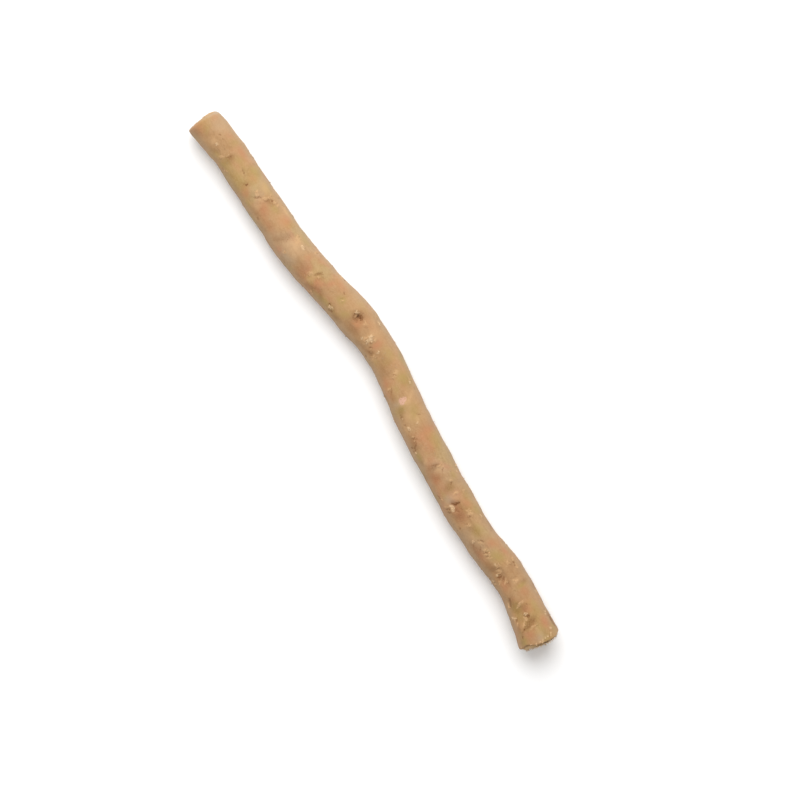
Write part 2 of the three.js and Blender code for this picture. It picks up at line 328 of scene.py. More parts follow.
SEEN_MARKS = [
    # the worn end
    Mark("rosy", -73.3, -28, 3.4, 4.0, 60, 0.8),
    Mark("grey", -71.1, 29, 4.5, 3.6, 20, 0.7),
    Mark("brown", -72.7, -49, 2.6, 2.0, 0, 0.8),
    Mark("brown", -70.9, -13, 2.6, 1.6, 30, 0.5),
    Mark("light", -68.7, -21, 2.4, 1.8, 35, 1.3),
    Mark("fleck", -67.6, -14, 1.1, 0.7, 40, 1.0),
    Mark("brown", -66.7, -35, 2.6, 1.5, 30, 0.9),
    Mark("scratch", -69.0, 12, 0.8, 0.6, 0, 0.9),
    Mark("scratch", -67.9, 14, 0.6, 0.5, 0, 0.7),
    Mark("rosy", -67.6, 41, 2.6, 1.8, 30, 0.6),
    Mark("olive", -65.6, 42, 2.8, 2.0, 70, 0.7),
    Mark("brown", -63.4, -1, 2.0, 2.4, 0, 1.1),
    Mark("scratch", -63.3, -4, 1.3, 0.7, 70, 1.1),
    Mark("stroke", -63.8, -7, 1.2, 0.5, 70, 0.7),
    Mark("brown", -63.0, -17, 2.2, 2.6, -60, 0.7),
    Mark("stroke", -64.5, -28, 1.7, 0.6, 60, 1.0),
    Mark("olive", -62.9, -46, 2.4, 1.6, 30, 0.8),
    Mark("fleck", -61.4, -51, 0.7, 0.5, 0, 0.6),
    Mark("stroke", -60.9, -46, 1.0, 0.4, 60, 0.7),
    Mark("scratch", -61.9, -56, 1.0, 0.5, -40, 0.8),
    Mark("rosy", -62.9, 42, 4.4, 2.2, -10, 1.0),
    Mark("olive", -61.4, 15, 3.2, 2.0, 50, 0.7),
    # the first quarter
    Mark("light", -60.5, -20, 3.0, 2.4, 0, 0.7),
    Mark("scratch", -58.5, 4, 2.4, 0.5, -12, 0.8),
    Mark("light", -58.7, -4, 2.4, 1.4, -10, 0.7),
    Mark("olive", -57.5, 41, 2.6, 2.4, 60, 1.0),
    Mark("rosy", -56.3, 20, 2.6, 2.0, 0, 0.6),
    Mark("brown", -55.6, -12, 1.8, 1.8, 0, 0.9),
    Mark("pit", -55.6, -12, 0.9, 0.7, 70, 0.6),
    Mark("scratch", -56.0, -17, 0.8, 0.5, 30, 0.7),
    Mark("rosy", -54.1, -30, 3.6, 2.4, -30, 0.8),
    Mark("olive", -52.5, 43, 4.0, 2.4, -10, 0.9),
    Mark("light", -52.5, 38, 3.0, 1.8, -10, 0.8),
    Mark("olive", -51.9, -47, 2.4, 1.6, 0, 0.8),
    Mark("stroke", -52.8, 4, 1.4, 0.6, -50, 1.2),
    Mark("stroke", -52.1, 2, 0.8, 0.5, 60, 0.7),
    Mark("scratch", -51.7, -5, 2.6, 0.6, 52, 1.1),
    Mark("light", -51.1, -9, 2.4, 0.9, 52, 0.8),
    Mark("stroke", -50.5, 13, 1.3, 0.5, 40, 0.9),
    Mark("stroke", -50.1, 27, 2.2, 0.6, 58, 0.8),
    Mark("brown", -49.3, 22, 2.4, 1.8, 55, 1.2),
    Mark("pit", -49.1, 30, 0.9, 0.6, 50, 0.7),
    Mark("scratch", -49.7, 18, 1.4, 0.5, 50, 0.8),
    Mark("stroke", -48.5, 37, 1.2, 0.5, 55, 0.8),
    Mark("scratch", -48.0, 43, 0.8, 0.5, -35, 0.7),
    Mark("stroke", -47.5, 41, 1.1, 0.5, -35, 1.0),
    Mark("rosy", -48.5, -10, 4.0, 2.6, -30, 1.0),
    Mark("light", -49.7, -18, 1.0, 2.4, 0, 0.7),
    Mark("scratch", -47.4, -46, 1.2, 0.7, 0, 0.9),
    Mark("brown", -48.6, -42, 2.8, 1.6, 20, 0.8),
    Mark("olive", -47.1, 24, 2.6, 1.6, 20, 0.8),
    # the first bend
    # a painted highlight where the +Y edge catches the light, given as a light streak
    Mark("light", -45.5, 57, 3.6, 1.2, 0, 1.5),
    Mark("fleck", -46.1, 62, 0.9, 0.5, 60, 0.7),
    Mark("rosy", -43.5, 32, 3.0, 2.8, 60, 0.9),
    Mark("rosy", -44.4, -28, 4.0, 2.0, 0, 0.6),
    Mark("brown", -40.0, 3, 1.8, 3.0, -8, 1.2),
    Mark("scratch", -39.3, -4, 2.0, 0.5, -70, 0.6),
    Mark("brown", -40.5, -31, 3.2, 2.2, 50, 1.0),
    Mark("light", -37.7, 24, 1.8, 3.0, 30, 1.6),
    Mark("stroke", -38.7, 31, 1.8, 0.6, -50, 0.7),
    Mark("fleck", -35.8, 23, 1.5, 0.65, -12, 1.1),
    Mark("light", -36.5, -4, 4.0, 3.0, 0, 1.0),
    Mark("stroke", -37.1, -35, 1.2, 0.55, 60, 1.3),
    Mark("rosy", -38.4, -48, 2.2, 1.4, 0, 1.0),
    Mark("grey", -36.1, -40, 4.0, 1.6, 10, 0.9),
    Mark("olive", -33.4, -59, 1.4, 1.0, 0, 1.2),
    Mark("stroke", -33.0, 51, 1.5, 0.5, 88, 1.4),
    Mark("stroke", -32.8, 56, 1.3, 0.4, 10, 1.0),
    Mark("rosy", -33.1, 15, 1.6, 2.0, 0, 0.6),
    Mark("brown", -32.1, -10, 3.6, 2.2, 30, 0.7),
    Mark("olive", -36.4, 53, 3.4, 1.6, 0, 0.9),
    Mark("stroke", -29.8, -14, 1.6, 0.6, 58, 1.2),
    Mark("light", -29.0, -12, 1.6, 1.4, 0, 1.0),
    Mark("scratch", -28.5, 7, 2.4, 0.6, 78, 1.1),
    Mark("scratch", -28.0, 13, 1.3, 0.5, 55, 0.9),
    Mark("stroke", -27.8, 0, 1.1, 0.6, 50, 0.8),
    Mark("brown", -27.4, 4, 1.8, 2.0, 0, 1.1),
    Mark("light", -29.4, 8, 1.2, 2.2, 0, 0.8),
    Mark("brown", -31.5, -29, 3.6, 2.0, 40, 1.0),
    Mark("brown", -30.7, -48, 3.0, 1.6, 20, 0.9),
    Mark("brown", -26.5, -43, 4.2, 2.6, 25, 1.1),
    Mark("brown", -23.7, -42, 3.4, 1.6, -35, 0.9),
    Mark("rosy", -26.3, -8, 3.6, 2.0, 20, 1.0),
    Mark("light", -28.5, -33, 0.8, 2.6, -20, 0.7),
    Mark("stroke", -25.8, -60, 1.8, 0.5, -35, 1.0),
    Mark("light", -24.7, -18, 3.0, 1.6, -20, 0.5),
    Mark("rosy", -25.8, 51, 2.2, 1.6, 60, 0.7),
    Mark("rosy", -22.8, 39, 2.6, 2.2, 0, 0.8),
    Mark("scratch", -21.3, 28, 1.6, 0.45, -35, 0.8),
    Mark("olive", -20.2, 4, 2.2, 2.2, 0, 1.2),
    Mark("stroke", -20.1, 3, 1.3, 0.5, 85, 0.9),
    Mark("scratch", -20.6, 7, 1.1, 0.5, 70, 0.6),
    Mark("fleck", -20.4, -42, 1.3, 0.7, 60, 1.0),
    Mark("fleck", -19.8, -37, 0.7, 0.5, -40, 0.8),
    Mark("pit", -21.0, -36, 0.6, 0.5, 0, 0.9),
    Mark("pit", -19.3, -48, 0.7, 0.5, 60, 0.9),
    Mark("scratch", -19.9, -53, 0.9, 0.5, -30, 0.8),
    Mark("brown", -20.3, -41, 2.8, 2.0, 0, 1.0),
    Mark("fleck", -18.6, -71, 1.2, 0.45, 10, 0.8),
    Mark("brown", -17.6, -50, 2.6, 1.6, -20, 1.0),
    Mark("olive", -17.1, -17, 2.6, 2.6, 0, 0.9),
    Mark("light", -18.7, -23, 2.6, 1.6, 0, 0.6),
    # the bud scar on the knee
    Mark("brown", -14.3, 9, 4.2, 4.4, 0, 1.3),
    Mark("rosy", -13.5, -8, 3.4, 2.6, -30, 0.9),
    Mark("pit", -14.6, 14, 1.5, 1.2, 30, 0.65),
    Mark("pit", -13.9, 15, 1.1, 0.7, -20, 0.65),
    Mark("shaded_hole", -14.9, 13, 0.65, 0.55, 0, 1.1),
    Mark("shaded_hole", -13.9, 14, 0.7, 0.4, -10, 0.5),
    Mark("scratch", -15.65, 4, 1.0, 0.45, 85, 1.1),
    Mark("pit", -15.7, 7, 0.6, 0.5, 30, 0.7),
    Mark("scratch", -15.1, -6, 1.0, 0.5, -25, 1.0),
    Mark("scratch", -14.6, 3, 1.2, 0.7, -60, 1.2),
    Mark("scratch", -14.0, -7, 0.6, 0.5, 40, 0.8),
    Mark("scratch", -14.8, 28, 1.1, 0.5, 60, 0.5),
    Mark("fleck", -15.8, 14, 1.5, 0.5, -48, 1.0),
    Mark("stroke", -15.2, 3, 0.9, 0.4, -55, 0.9),
    Mark("stroke", -14.2, 9, 0.5, 0.4, -25, 0.5),
    Mark("stroke", -13.1, 18, 0.9, 0.4, 40, 0.5),
    Mark("stroke", -12.3, 13, 1.7, 0.5, 55, 0.8),
    Mark("scratch", -11.6, 9, 1.5, 0.5, 58, 0.5),
    # the lifted bark past the knee
    Mark("light", -11.1, 30, 4.0, 2.6, 0, 0.8),
    Mark("rosy", -11.7, 26, 4.2, 2.2, 0, 0.6),
    Mark("brown", -12.7, -34, 5.4, 2.2, 5, 1.1),
    Mark("light", -8.7, -9, 2.4, 3.6, 0, 1.1),
    Mark("fleck", -8.6, -8, 2.3, 0.6, -78, 1.3),
    Mark("fleck", -9.1, 2, 1.6, 0.5, -60, 0.9),
    Mark("fleck", -8.2, -1, 1.3, 0.45, 60, 0.9),
    Mark("fleck", -8.3, -17, 1.2, 0.5, -80, 1.0),
    Mark("stroke", -9.4, -12, 1.4, 0.5, 60, 1.1),
    Mark("fleck", -10.0, -25, 0.8, 0.6, 20, 0.8),
    Mark("stroke", -7.9, 10, 1.2, 0.5, 50, 0.9),
    Mark("stroke", -9.3, -24, 1.0, 0.5, 0, 0.7),
    Mark("scratch", -9.2, -7, 1.2, 0.45, -70, 0.6),
    Mark("scratch", -7.8, -12, 1.6, 0.5, 80, 0.6),
    Mark("fleck", -10.7, 58, 1.6, 0.5, 8, 0.9),
    Mark("stroke", -12.5, 62, 1.0, 0.4, -30, 0.9),
    Mark("rosy", -6.7, 5, 2.0, 3.4, 0, 1.2),
    Mark("scratch", -7.0, -21, 1.5, 0.5, 60, 0.9),
    Mark("stroke", -6.4, -23, 1.4, 0.4, 60, 0.6),
    Mark("brown", -5.9, -30, 1.6, 2.0, 0, 1.5),
    Mark("brown", -7.5, -42, 4.0, 1.4, 20, 0.9),
    Mark("pit", -6.0, -62, 0.6, 0.5, 0, 0.9),
    Mark("fleck", -5.0, -6, 0.9, 0.8, 0, 0.6),
    Mark("stroke", -4.7, -33, 2.2, 0.5, -55, 0.8),
    # the middle
    Mark("brown", -2.1, 3, 4.0, 2.4, 40, 0.8),
    Mark("brown", -1.3, -24, 4.4, 2.4, 0, 1.0),
    Mark("olive", -3.3, 25, 3.6, 2.4, 0, 0.7),
    Mark("brown", 0.5, -5, 1.6, 2.0, 0, 0.8),
    Mark("light", 1.2, 13, 1.2, 1.6, 20, 1.3),
    Mark("scratch", 0.8, 8, 1.0, 0.45, 70, 0.7),
    Mark("scratch", 1.6, 4, 1.5, 0.5, 62, 0.9),
    Mark("stroke", 1.9, 2, 1.2, 0.4, 62, 0.7),
    Mark("scratch", 2.4, -4, 1.0, 0.45, 60, 0.6),
    Mark("olive", 3.5, 29, 3.8, 2.8, 0, 1.1),
    Mark("stroke", 3.8, -34, 1.6, 0.6, 58, 1.0),
    Mark("scratch", 4.4, -30, 1.8, 0.6, -35, 0.9),
    Mark("rosy", 2.3, -36, 3.0, 2.0, 0, 0.9),
    Mark("stroke", 4.2, 49, 1.2, 0.5, -30, 1.0),
    Mark("fleck", 5.0, 46, 1.0, 0.5, 20, 0.8),
    Mark("brown", 5.9, -36, 2.6, 1.6, 0, 0.9),
    Mark("light", 7.8, 30, 2.8, 1.0, -50, 1.0),
    Mark("light", 6.9, 17, 1.6, 1.2, 0, 0.7),
    Mark("scratch", 6.8, 58, 1.2, 0.5, -20, 0.7),
    # the raw spot and the flecks past it
    Mark("raw", 7.9, -5, 1.3, 1.9, 20, 1.1),
    Mark("raw", 7.5, -14, 1.1, 1.0, -30, 0.8),
    Mark("light", 8.6, 6, 1.6, 1.8, 30, 1.1),
    Mark("grey", 7.9, -34, 1.8, 2.4, 0, 1.0),
    Mark("olive", 9.4, -25, 2.0, 2.2, 20, 1.2),
    Mark("brown", 9.6, -29, 2.0, 1.8, 20, 0.8),
    Mark("scratch", 9.3, -18, 1.5, 0.45, -40, 0.5),
    Mark("pit", 11.0, -42, 0.8, 0.6, 0, 0.8),
    Mark("scratch", 10.4, -41, 0.8, 0.5, 30, 0.7),
    Mark("fleck", 11.5, -38, 0.6, 0.5, 60, 0.7),
    Mark("brown", 11.1, -38, 2.6, 1.4, 0, 0.9),
    Mark("olive", 11.5, 9, 4.4, 3.0, 0, 0.9),
    Mark("light", 11.4, -13, 3.4, 2.6, 0, 0.7),
    Mark("scratch", 12.5, 25, 1.5, 0.55, 50, 0.8),
    Mark("light", 13.5, 12, 1.8, 0.9, -30, 0.7),
    Mark("fleck", 14.1, 5, 0.9, 0.5, 62, 0.8),
    Mark("stroke", 14.5, 9, 1.0, 0.4, 65, 0.8),
    Mark("fleck", 14.3, -28, 1.3, 0.65, 25, 1.0),
    Mark("scratch", 13.1, -36, 1.0, 0.5, 10, 0.8),
    Mark("scratch", 15.0, -29, 0.6, 0.5, 60, 0.7),
    Mark("rosy", 16.9, 31, 4.4, 3.0, 60, 0.9),
    Mark("olive", 19.9, 38, 4.0, 2.6, 0, 0.7),
    Mark("scratch", 16.9, -26, 1.7, 0.6, 60, 1.1),
    Mark("stroke", 16.4, -28, 1.3, 0.5, 60, 0.9),
    Mark("stroke", 17.4, -32, 1.0, 0.4, 55, 0.6),
    Mark("brown", 17.5, -37, 2.6, 1.8, 0, 1.0),
    Mark("scratch", 18.6, -38, 1.8, 0.6, -62, 1.0),
    Mark("pit", 19.3, -44, 1.0, 0.5, -50, 0.8),
    Mark("pit", 18.5, -54, 0.6, 0.5, 0, 0.9),
    Mark("pit", 19.6, -56, 0.7, 0.5, 0, 0.7),
    Mark("fleck", 20.0, -48, 0.7, 0.55, 0, 0.9),
    Mark("brown", 18.9, -45, 2.6, 2.0, 0, 1.0),
    Mark("olive", 21.3, -46, 2.6, 1.6, 0, 1.2),
    Mark("light", 20.7, -19, 3.0, 1.6, -10, 0.5),
    Mark("light", 22.9, -30, 2.4, 0.9, -42, 0.9),
    Mark("brown", 22.6, -48, 2.4, 1.4, 0, 0.9),
    # the creases in the third quarter
    Mark("brown", 25.1, -17, 1.6, 3.2, 0, 1.6),
    Mark("scratch", 25.0, -5, 2.4, 0.6, 68, 0.9),
    Mark("stroke", 25.8, 8, 1.9, 0.6, 50, 1.3),
    Mark("scratch", 26.8, 9, 1.6, 0.5, -40, 0.9),
    Mark("light", 26.2, -4, 1.4, 2.0, 10, 1.0),
    Mark("light", 25.3, 15, 2.0, 0.9, 30, 0.8),
    Mark("rosy", 27.9, -31, 3.6, 3.2, 0, 1.1),
    Mark("brown", 27.5, -27, 2.8, 2.6, 0, 0.8),
    Mark("olive", 29.1, 37, 2.4, 2.0, 0, 0.8),
    Mark("fleck", 29.1, 56, 0.8, 0.5, 30, 0.6),
    Mark("stroke", 30.0, 17, 1.2, 0.6, 55, 1.0),
    Mark("scratch", 30.5, 14, 1.1, 0.6, -50, 0.9),
    Mark("brown", 31.1, -1, 2.4, 2.6, -20, 1.4),
    Mark("olive", 31.3, 2, 2.6, 2.6, 0, 0.7),
    # the torn twig scar
    Mark("stroke", 33.2, 10, 1.6, 0.6, 82, 1.2),
    Mark("light", 34.1, 0, 2.0, 1.0, 45, 1.2),
    Mark("grey", 33.9, -23, 3.0, 2.6, 20, 1.4),
    Mark("light", 34.2, -37, 2.2, 1.4, 40, 0.9),
    Mark("pit", 35.5, -1, 1.5, 0.7, 85, 0.7),
    Mark("pit", 35.2, -12, 1.0, 0.7, 60, 0.6),
    Mark("pit", 34.8, -21, 1.0, 0.6, 50, 0.6),
    Mark("scratch", 36.5, -16, 2.0, 0.6, 8, 1.1),
    Mark("fleck", 35.5, -26, 1.4, 0.8, 20, 1.3),
    Mark("fleck", 36.3, -29, 0.9, 0.9, -30, 1.1),
    Mark("fleck", 35.9, -23, 0.8, 0.6, 0, 0.8),
    Mark("scratch", 36.7, -25, 0.8, 0.6, -60, 0.8),
    Mark("stroke", 34.8, -45, 1.6, 0.55, 66, 1.4),
    Mark("scratch", 35.4, -43, 1.6, 0.6, 60, 1.2),
    Mark("scratch", 36.3, -44, 1.4, 0.6, 62, 1.2),
    Mark("stroke", 35.9, -44, 1.2, 0.4, 62, 0.9),
    Mark("brown", 35.5, -17, 3.0, 3.6, 0, 0.9),
    Mark("brown", 37.9, -5, 3.6, 2.6, 0, 1.2),
    Mark("rosy", 38.1, -17, 3.8, 3.0, 0, 1.0),
    Mark("brown", 38.7, -26, 3.4, 2.0, 0, 1.0),
    Mark("scratch", 37.1, 0, 1.3, 0.5, 40, 0.7),
    Mark("rosy", 36.8, 31, 2.6, 1.8, 40, 0.9),
    Mark("stroke", 38.3, 17, 1.7, 0.5, 55, 0.9),
    Mark("stroke", 39.2, 20, 1.5, 0.6, 62, 1.2),
    Mark("scratch", 39.7, 9, 1.2, 0.6, 70, 0.9),
    Mark("olive", 39.1, 48, 2.6, 2.0, 0, 1.1),
    Mark("stroke", 33.7, 44, 1.4, 0.5, -40, 0.6),
    Mark("scratch", 31.8, -52, 1.6, 0.5, 30, 0.8),
    Mark("stroke", 32.5, -45, 1.6, 0.5, -30, 0.6),
    # past the twig scar
    Mark("stroke", 41.4, -9, 1.6, 0.6, 60, 1.1),
    Mark("scratch", 40.9, -13, 1.6, 0.6, 60, 0.8),
    Mark("brown", 42.3, -12, 2.0, 2.0, 40, 0.8),
    Mark("olive", 43.5, 5, 3.6, 2.6, 0, 1.1),
    Mark("brown", 43.5, 1, 3.2, 1.8, 0, 0.8),
    Mark("scratch", 40.8, -42, 0.9, 0.7, 80, 0.8),
    Mark("pit", 41.0, -59, 0.8, 0.6, 0, 0.35),
    Mark("light", 41.9, 29, 4.0, 1.8, 0, 0.5),
    Mark("fleck", 41.2, 51, 1.3, 0.5, 10, 0.8),
    Mark("fleck", 45.2, -29, 1.1, 0.6, -45, 0.9),
    Mark("scratch", 45.9, -33, 1.0, 0.5, -40, 0.7),
    Mark("light", 44.2, -21, 1.6, 1.0, -30, 0.6),
    Mark("scratch", 46.1, -2, 2.0, 0.55, 40, 1.0),
    Mark("stroke", 46.5, -9, 1.6, 0.5, 45, 0.9),
    Mark("brown", 47.5, -38, 3.8, 2.4, 0, 1.4),
    Mark("scratch", 47.5, -21, 1.6, 0.5, -40, 0.7),
    Mark("rosy", 48.9, -36, 4.0, 2.0, 0, 0.8),
    Mark("rosy", 47.9, 25, 3.0, 2.6, 50, 1.0),
    # the strokes before the leaf scar
    Mark("stroke", 48.5, -10, 2.0, 0.6, 60, 0.9),
    Mark("stroke", 49.6, -12, 2.0, 0.6, 60, 0.9),
    Mark("stroke", 50.5, -13, 1.6, 0.5, 60, 0.9),
    Mark("scratch", 49.1, -12, 2.0, 0.5, 60, 0.9),
    Mark("scratch", 50.1, -14, 1.9, 0.5, 60, 0.8),
    Mark("rosy", 51.2, 47, 2.2, 1.6, 0, 1.3),
    Mark("olive", 51.3, 12, 3.6, 3.0, 0, 1.0),
    Mark("brown", 52.5, -34, 4.2, 2.0, 8, 1.3),
    Mark("fleck", 52.6, -15, 0.7, 0.6, 0, 0.7),
    Mark("stroke", 53.3, -8, 1.6, 0.6, 60, 1.1),
    Mark("scratch", 53.8, -10, 1.5, 0.5, 60, 0.7),
    Mark("stroke", 54.4, -15, 1.7, 0.6, 62, 1.2),
    Mark("stroke", 53.9, 24, 1.8, 0.5, -42, 0.8),
    # the leaf scar
    Mark("brown", 55.7, -25, 2.6, 3.4, 0, 1.3),
    Mark("pit", 55.5, -17, 1.5, 0.9, 82, 0.4),
    Mark("pit", 55.7, -31, 1.3, 0.9, 70, 0.45),
    Mark("scratch", 56.2, -28, 1.6, 0.8, -50, 0.7),
    Mark("scratch", 56.5, -16, 1.6, 0.5, -45, 0.9),
    Mark("stroke", 57.3, -16, 2.0, 0.5, -42, 0.9),
    Mark("stroke", 56.9, -37, 1.7, 0.5, -48, 1.1),
    Mark("fleck", 55.0, -33, 0.8, 0.6, 80, 1.0),
    Mark("stroke", 54.9, -21, 1.6, 0.5, 85, 1.0),
    Mark("fleck", 55.7, -61, 1.2, 0.45, 62, 0.9),
    Mark("stroke", 56.5, -60, 1.2, 0.45, 62, 0.9),
    Mark("scratch", 56.1, -63, 1.2, 0.45, 62, 0.7),
    Mark("rosy", 58.1, -27, 3.4, 2.4, -20, 0.9),
    Mark("brown", 58.3, -10, 2.2, 1.6, 30, 0.8),
    Mark("pit", 54.5, 47, 0.9, 0.6, 30, 0.8),
    Mark("scratch", 55.1, 43, 1.2, 0.6, -20, 0.9),
    Mark("brown", 54.8, 31, 1.6, 1.8, 0, 1.0),
    Mark("stroke", 53.8, 51, 1.3, 0.5, -40, 1.0),
    Mark("stroke", 55.9, 45, 1.1, 0.5, 40, 0.8),
    Mark("light", 58.5, 15, 1.0, 2.0, 0, 2.0),
    Mark("stroke", 58.6, 19, 1.3, 0.6, 88, 1.0),
    Mark("stroke", 57.9, 10, 0.9, 0.4, 50, 0.6),
    Mark("scratch", 57.5, 5, 1.0, 0.5, 60, 0.5),
    Mark("olive", 60.1, 31, 1.2, 3.2, 0, 1.1),
    Mark("brown", 59.7, 46, 1.0, 1.6, 0, 1.0),
    Mark("rosy", 61.5, 28, 2.6, 2.2, 0, 0.8),
    # the oval knot and the bud in it
    Mark("scratch", 61.9, -40, 1.6, 0.8, -28, 1.3),
    Mark("scratch", 62.9, -47, 1.4, 0.7, -10, 1.2),
    Mark("brown", 62.1, -30, 2.6, 1.6, -25, 1.0),
    Mark("stroke", 62.7, -57, 1.8, 0.5, -12, 0.9),
    Mark("brown", 64.5, -36, 3.2, 2.0, 20, 1.3),
    Mark("olive", 64.5, -34, 3.4, 2.2, 20, 0.8),
    Mark("stroke", 63.6, -3, 1.8, 0.55, -80, 1.0),
    Mark("stroke", 63.9, -18, 1.7, 0.5, -72, 1.1),
    Mark("brown", 63.1, -11, 1.0, 3.0, 0, 0.8),
    Mark("brown", 65.1, -1, 2.0, 2.6, 50, 1.2),
    Mark("rosy", 65.5, 3, 3.0, 3.0, 0, 1.0),
    Mark("scratch", 64.7, 13, 1.8, 0.5, 50, 0.7),
    Mark("fleck", 66.4, -6, 0.95, 0.9, 0, 0.75),
    Mark("scratch", 65.9, -2, 0.8, 0.5, 40, 0.8),
    Mark("pit", 67.1, -2, 1.1, 0.7, 60, 0.8),
    Mark("scratch", 66.6, -12, 0.9, 0.5, 10, 0.8),
    Mark("stroke", 67.1, -14, 1.3, 0.5, 55, 1.0),
    Mark("stroke", 67.7, -13, 1.2, 0.4, 58, 0.9),
    Mark("brown", 67.4, -7, 2.2, 2.4, 0, 1.0),
    Mark("brown", 68.9, -9, 1.8, 4.2, 12, 1.9),
    Mark("scratch", 69.4, -18, 2.2, 0.7, -78, 0.9),
    Mark("pit", 69.3, -28, 0.7, 0.6, 60, 0.8),
    Mark("brown", 68.2, 10, 1.8, 1.2, -40, 0.9),
    Mark("stroke", 69.9, -3, 2.6, 0.6, -82, 0.7),
    Mark("stroke", 68.3, -27, 1.6, 0.5, -40, 0.8),
    Mark("fleck", 65.5, -54, 0.9, 0.5, 60, 1.0),
    Mark("fleck", 66.1, -48, 1.0, 0.45, -60, 0.9),
    Mark("scratch", 66.6, -44, 1.3, 0.6, -40, 1.0),
    Mark("stroke", 67.4, -46, 1.6, 0.5, -25, 0.8),
    Mark("brown", 68.1, -44, 3.4, 1.2, -25, 1.1),
    Mark("pit", 70.7, -44, 0.8, 0.6, -30, 0.9),
    Mark("scratch", 70.0, -39, 1.3, 0.5, -35, 0.8),
    # the cut end
    Mark("rosy", 70.3, 39, 3.6, 2.2, -10, 1.3),
    Mark("rosy", 71.3, -18, 3.2, 2.2, -40, 0.9),
    Mark("olive", 71.8, -47, 2.6, 2.2, -20, 1.6),
    Mark("brown", 71.7, -50, 2.4, 1.8, -20, 0.8),
    Mark("grey", 72.9, 3, 2.0, 2.6, 0, 1.0),
    Mark("brown", 72.7, 23, 2.4, 1.2, 0, 0.6),
    Mark("light", 71.3, 6, 2.4, 0.8, 15, 0.8),
    Mark("fleck", 68.4, 61, 0.8, 0.45, 20, 0.9),
    Mark("fleck", 69.0, 56, 0.6, 0.45, 60, 0.8),
    Mark("scratch", 68.7, 65, 0.6, 0.45, 0, 0.8),
    Mark("scratch", 69.5, 60, 0.7, 0.45, 0, 0.8),
    Mark("brown", 71.0, 69, 3.8, 1.2, 0, 2.2),
    Mark("scratch", 70.3, 71, 2.2, 0.7, 0, 1.2),
    Mark("scratch", 72.2, 69, 1.0, 0.6, 0, 1.0),
    Mark("olive", 72.5, 59, 3.0, 1.6, -20, 1.2),
    Mark("fleck", 72.4, 46, 0.85, 0.75, 20, 1.0),
    Mark("scratch", 72.9, 39, 0.7, 0.5, -30, 0.7),
    Mark("fleck", 73.4, 37, 0.6, 0.5, 0, 0.8),
    Mark("fleck", 73.9, 33, 0.5, 0.5, 0, 0.8),
    Mark("scratch", 73.5, 31, 0.6, 0.45, 0, 0.8),
    Mark("fleck", 73.7, 25, 0.6, 0.45, -40, 0.9),
    Mark("scratch", 74.0, 29, 0.5, 0.45, 60, 0.9),
    Mark("fleck", 73.6, 16, 0.6, 0.5, 0, 0.7),
    Mark("scratch", 74.1, 11, 0.6, 0.4, 60, 0.8),
    Mark("fleck", 74.1, 4, 0.6, 0.55, 0, 1.0),
    Mark("fleck", 73.5, 6, 0.5, 0.4, 0, 0.6),
    Mark("fleck", 73.8, -4, 0.7, 0.5, 40, 0.8),
    Mark("fleck", 73.8, -15, 0.7, 0.5, 50, 0.8),
    Mark("fleck", 73.3, -29, 0.8, 0.5, 60, 1.0),
    Mark("scratch", 73.1, -40, 0.7, 0.4, 60, 0.6),
    Mark("fleck", 73.0, -54, 0.6, 0.5, 0, 0.8),
    Mark("fleck", 72.5, -63, 0.5, 0.5, 0, 0.8),
]


# The marks out of sight: from how many degrees round they start, how far along they reach, how often
# each kind comes, their sizes, turns and strengths, and what the soft patches have beyond that
FAR_SEED = 23
FAR_FROM = 72
FAR_ALONG = 72
FAR_SHARES = {
    "stroke": 30,
    "scratch": 24,
    "fleck": 12,
    "pit": 5,
    "light": 10,
    "brown": 14,
    "rosy": 18,
    "olive": 18,
}
FAR_LENGTHS = (0.6, 2.2)
FAR_BREADTHS = (0.4, 0.7)
FAR_TURNS = (30, 90)
FAR_STRENGTHS = (0.4, 0.9)
PATCH_WIDER = 1.8
PATCH_STRONGER = 0.25


def far_mark(chance):
    """One mark by chance, out of sight from above."""
    kind = chance.choices(list(FAR_SHARES), list(FAR_SHARES.values()))[0]
    soft = kind in SOFT_TINTS
    return Mark(
        kind,
        chance.uniform(-FAR_ALONG, FAR_ALONG),
        chance.uniform(FAR_FROM, 360 - FAR_FROM),
        chance.uniform(*FAR_LENGTHS) + PATCH_WIDER * soft,
        chance.uniform(*FAR_BREADTHS) + PATCH_WIDER * soft,
        chance.choice((-1, 1)) * chance.uniform(*FAR_TURNS),
        chance.uniform(*FAR_STRENGTHS) + PATCH_STRONGER * soft,
    )


def all_marks(settings):
    """The marks read off the photo, and small ones strewn over the parts that are out of sight."""
    chance = random.Random(FAR_SEED)
    return SEEN_MARKS + [far_mark(chance) for _ in range(settings.far_marks)]


def mark_cover(mark, spots, shift):
    """How strongly a mark covers each spot, from 0 to 1. The shift makes its outline uneven."""
    along = spots.along + shift[:, 0] - mark.along
    across = spots.radius * wrapped(spots.turn - math.radians(mark.round)) + shift[:, 1]
    angle = math.radians(mark.turn)
    lengthwise = (along * math.cos(angle) + across * math.sin(angle)) / (mark.length / 2)
    sideways = (across * math.cos(angle) - along * math.sin(angle)) / (mark.breadth / 2)
    return np.exp(-np.hypot(lengthwise, sideways) ** KINDS[mark.kind].edge)


# Smooth noise, and the relief that it gives


# A layer of noise: how far its lumps are drawn out along the stick and across it, the size of the
# lumps in millimetres, a seed, and how strong the layer is
Layer = namedtuple("Layer", "along across size seed strength", defaults=(1,))
SEED_STEPS = (17.3, 5.1, 9.7)

# The relief of the bark
LUMPS = Layer(1.4, 1, 2.6, 11)
SMALL_LUMPS = Layer(1.2, 1, 1.1, 12, 0.5)
WRINKLES = Layer(5, 1, 0.8, 13, 0.5)
CREASES = Layer(1, 3.5, 1.5, 14)
CREASE_BREADTH = 0.12
GRAIN = Layer(1, 1, 0.42, 15)

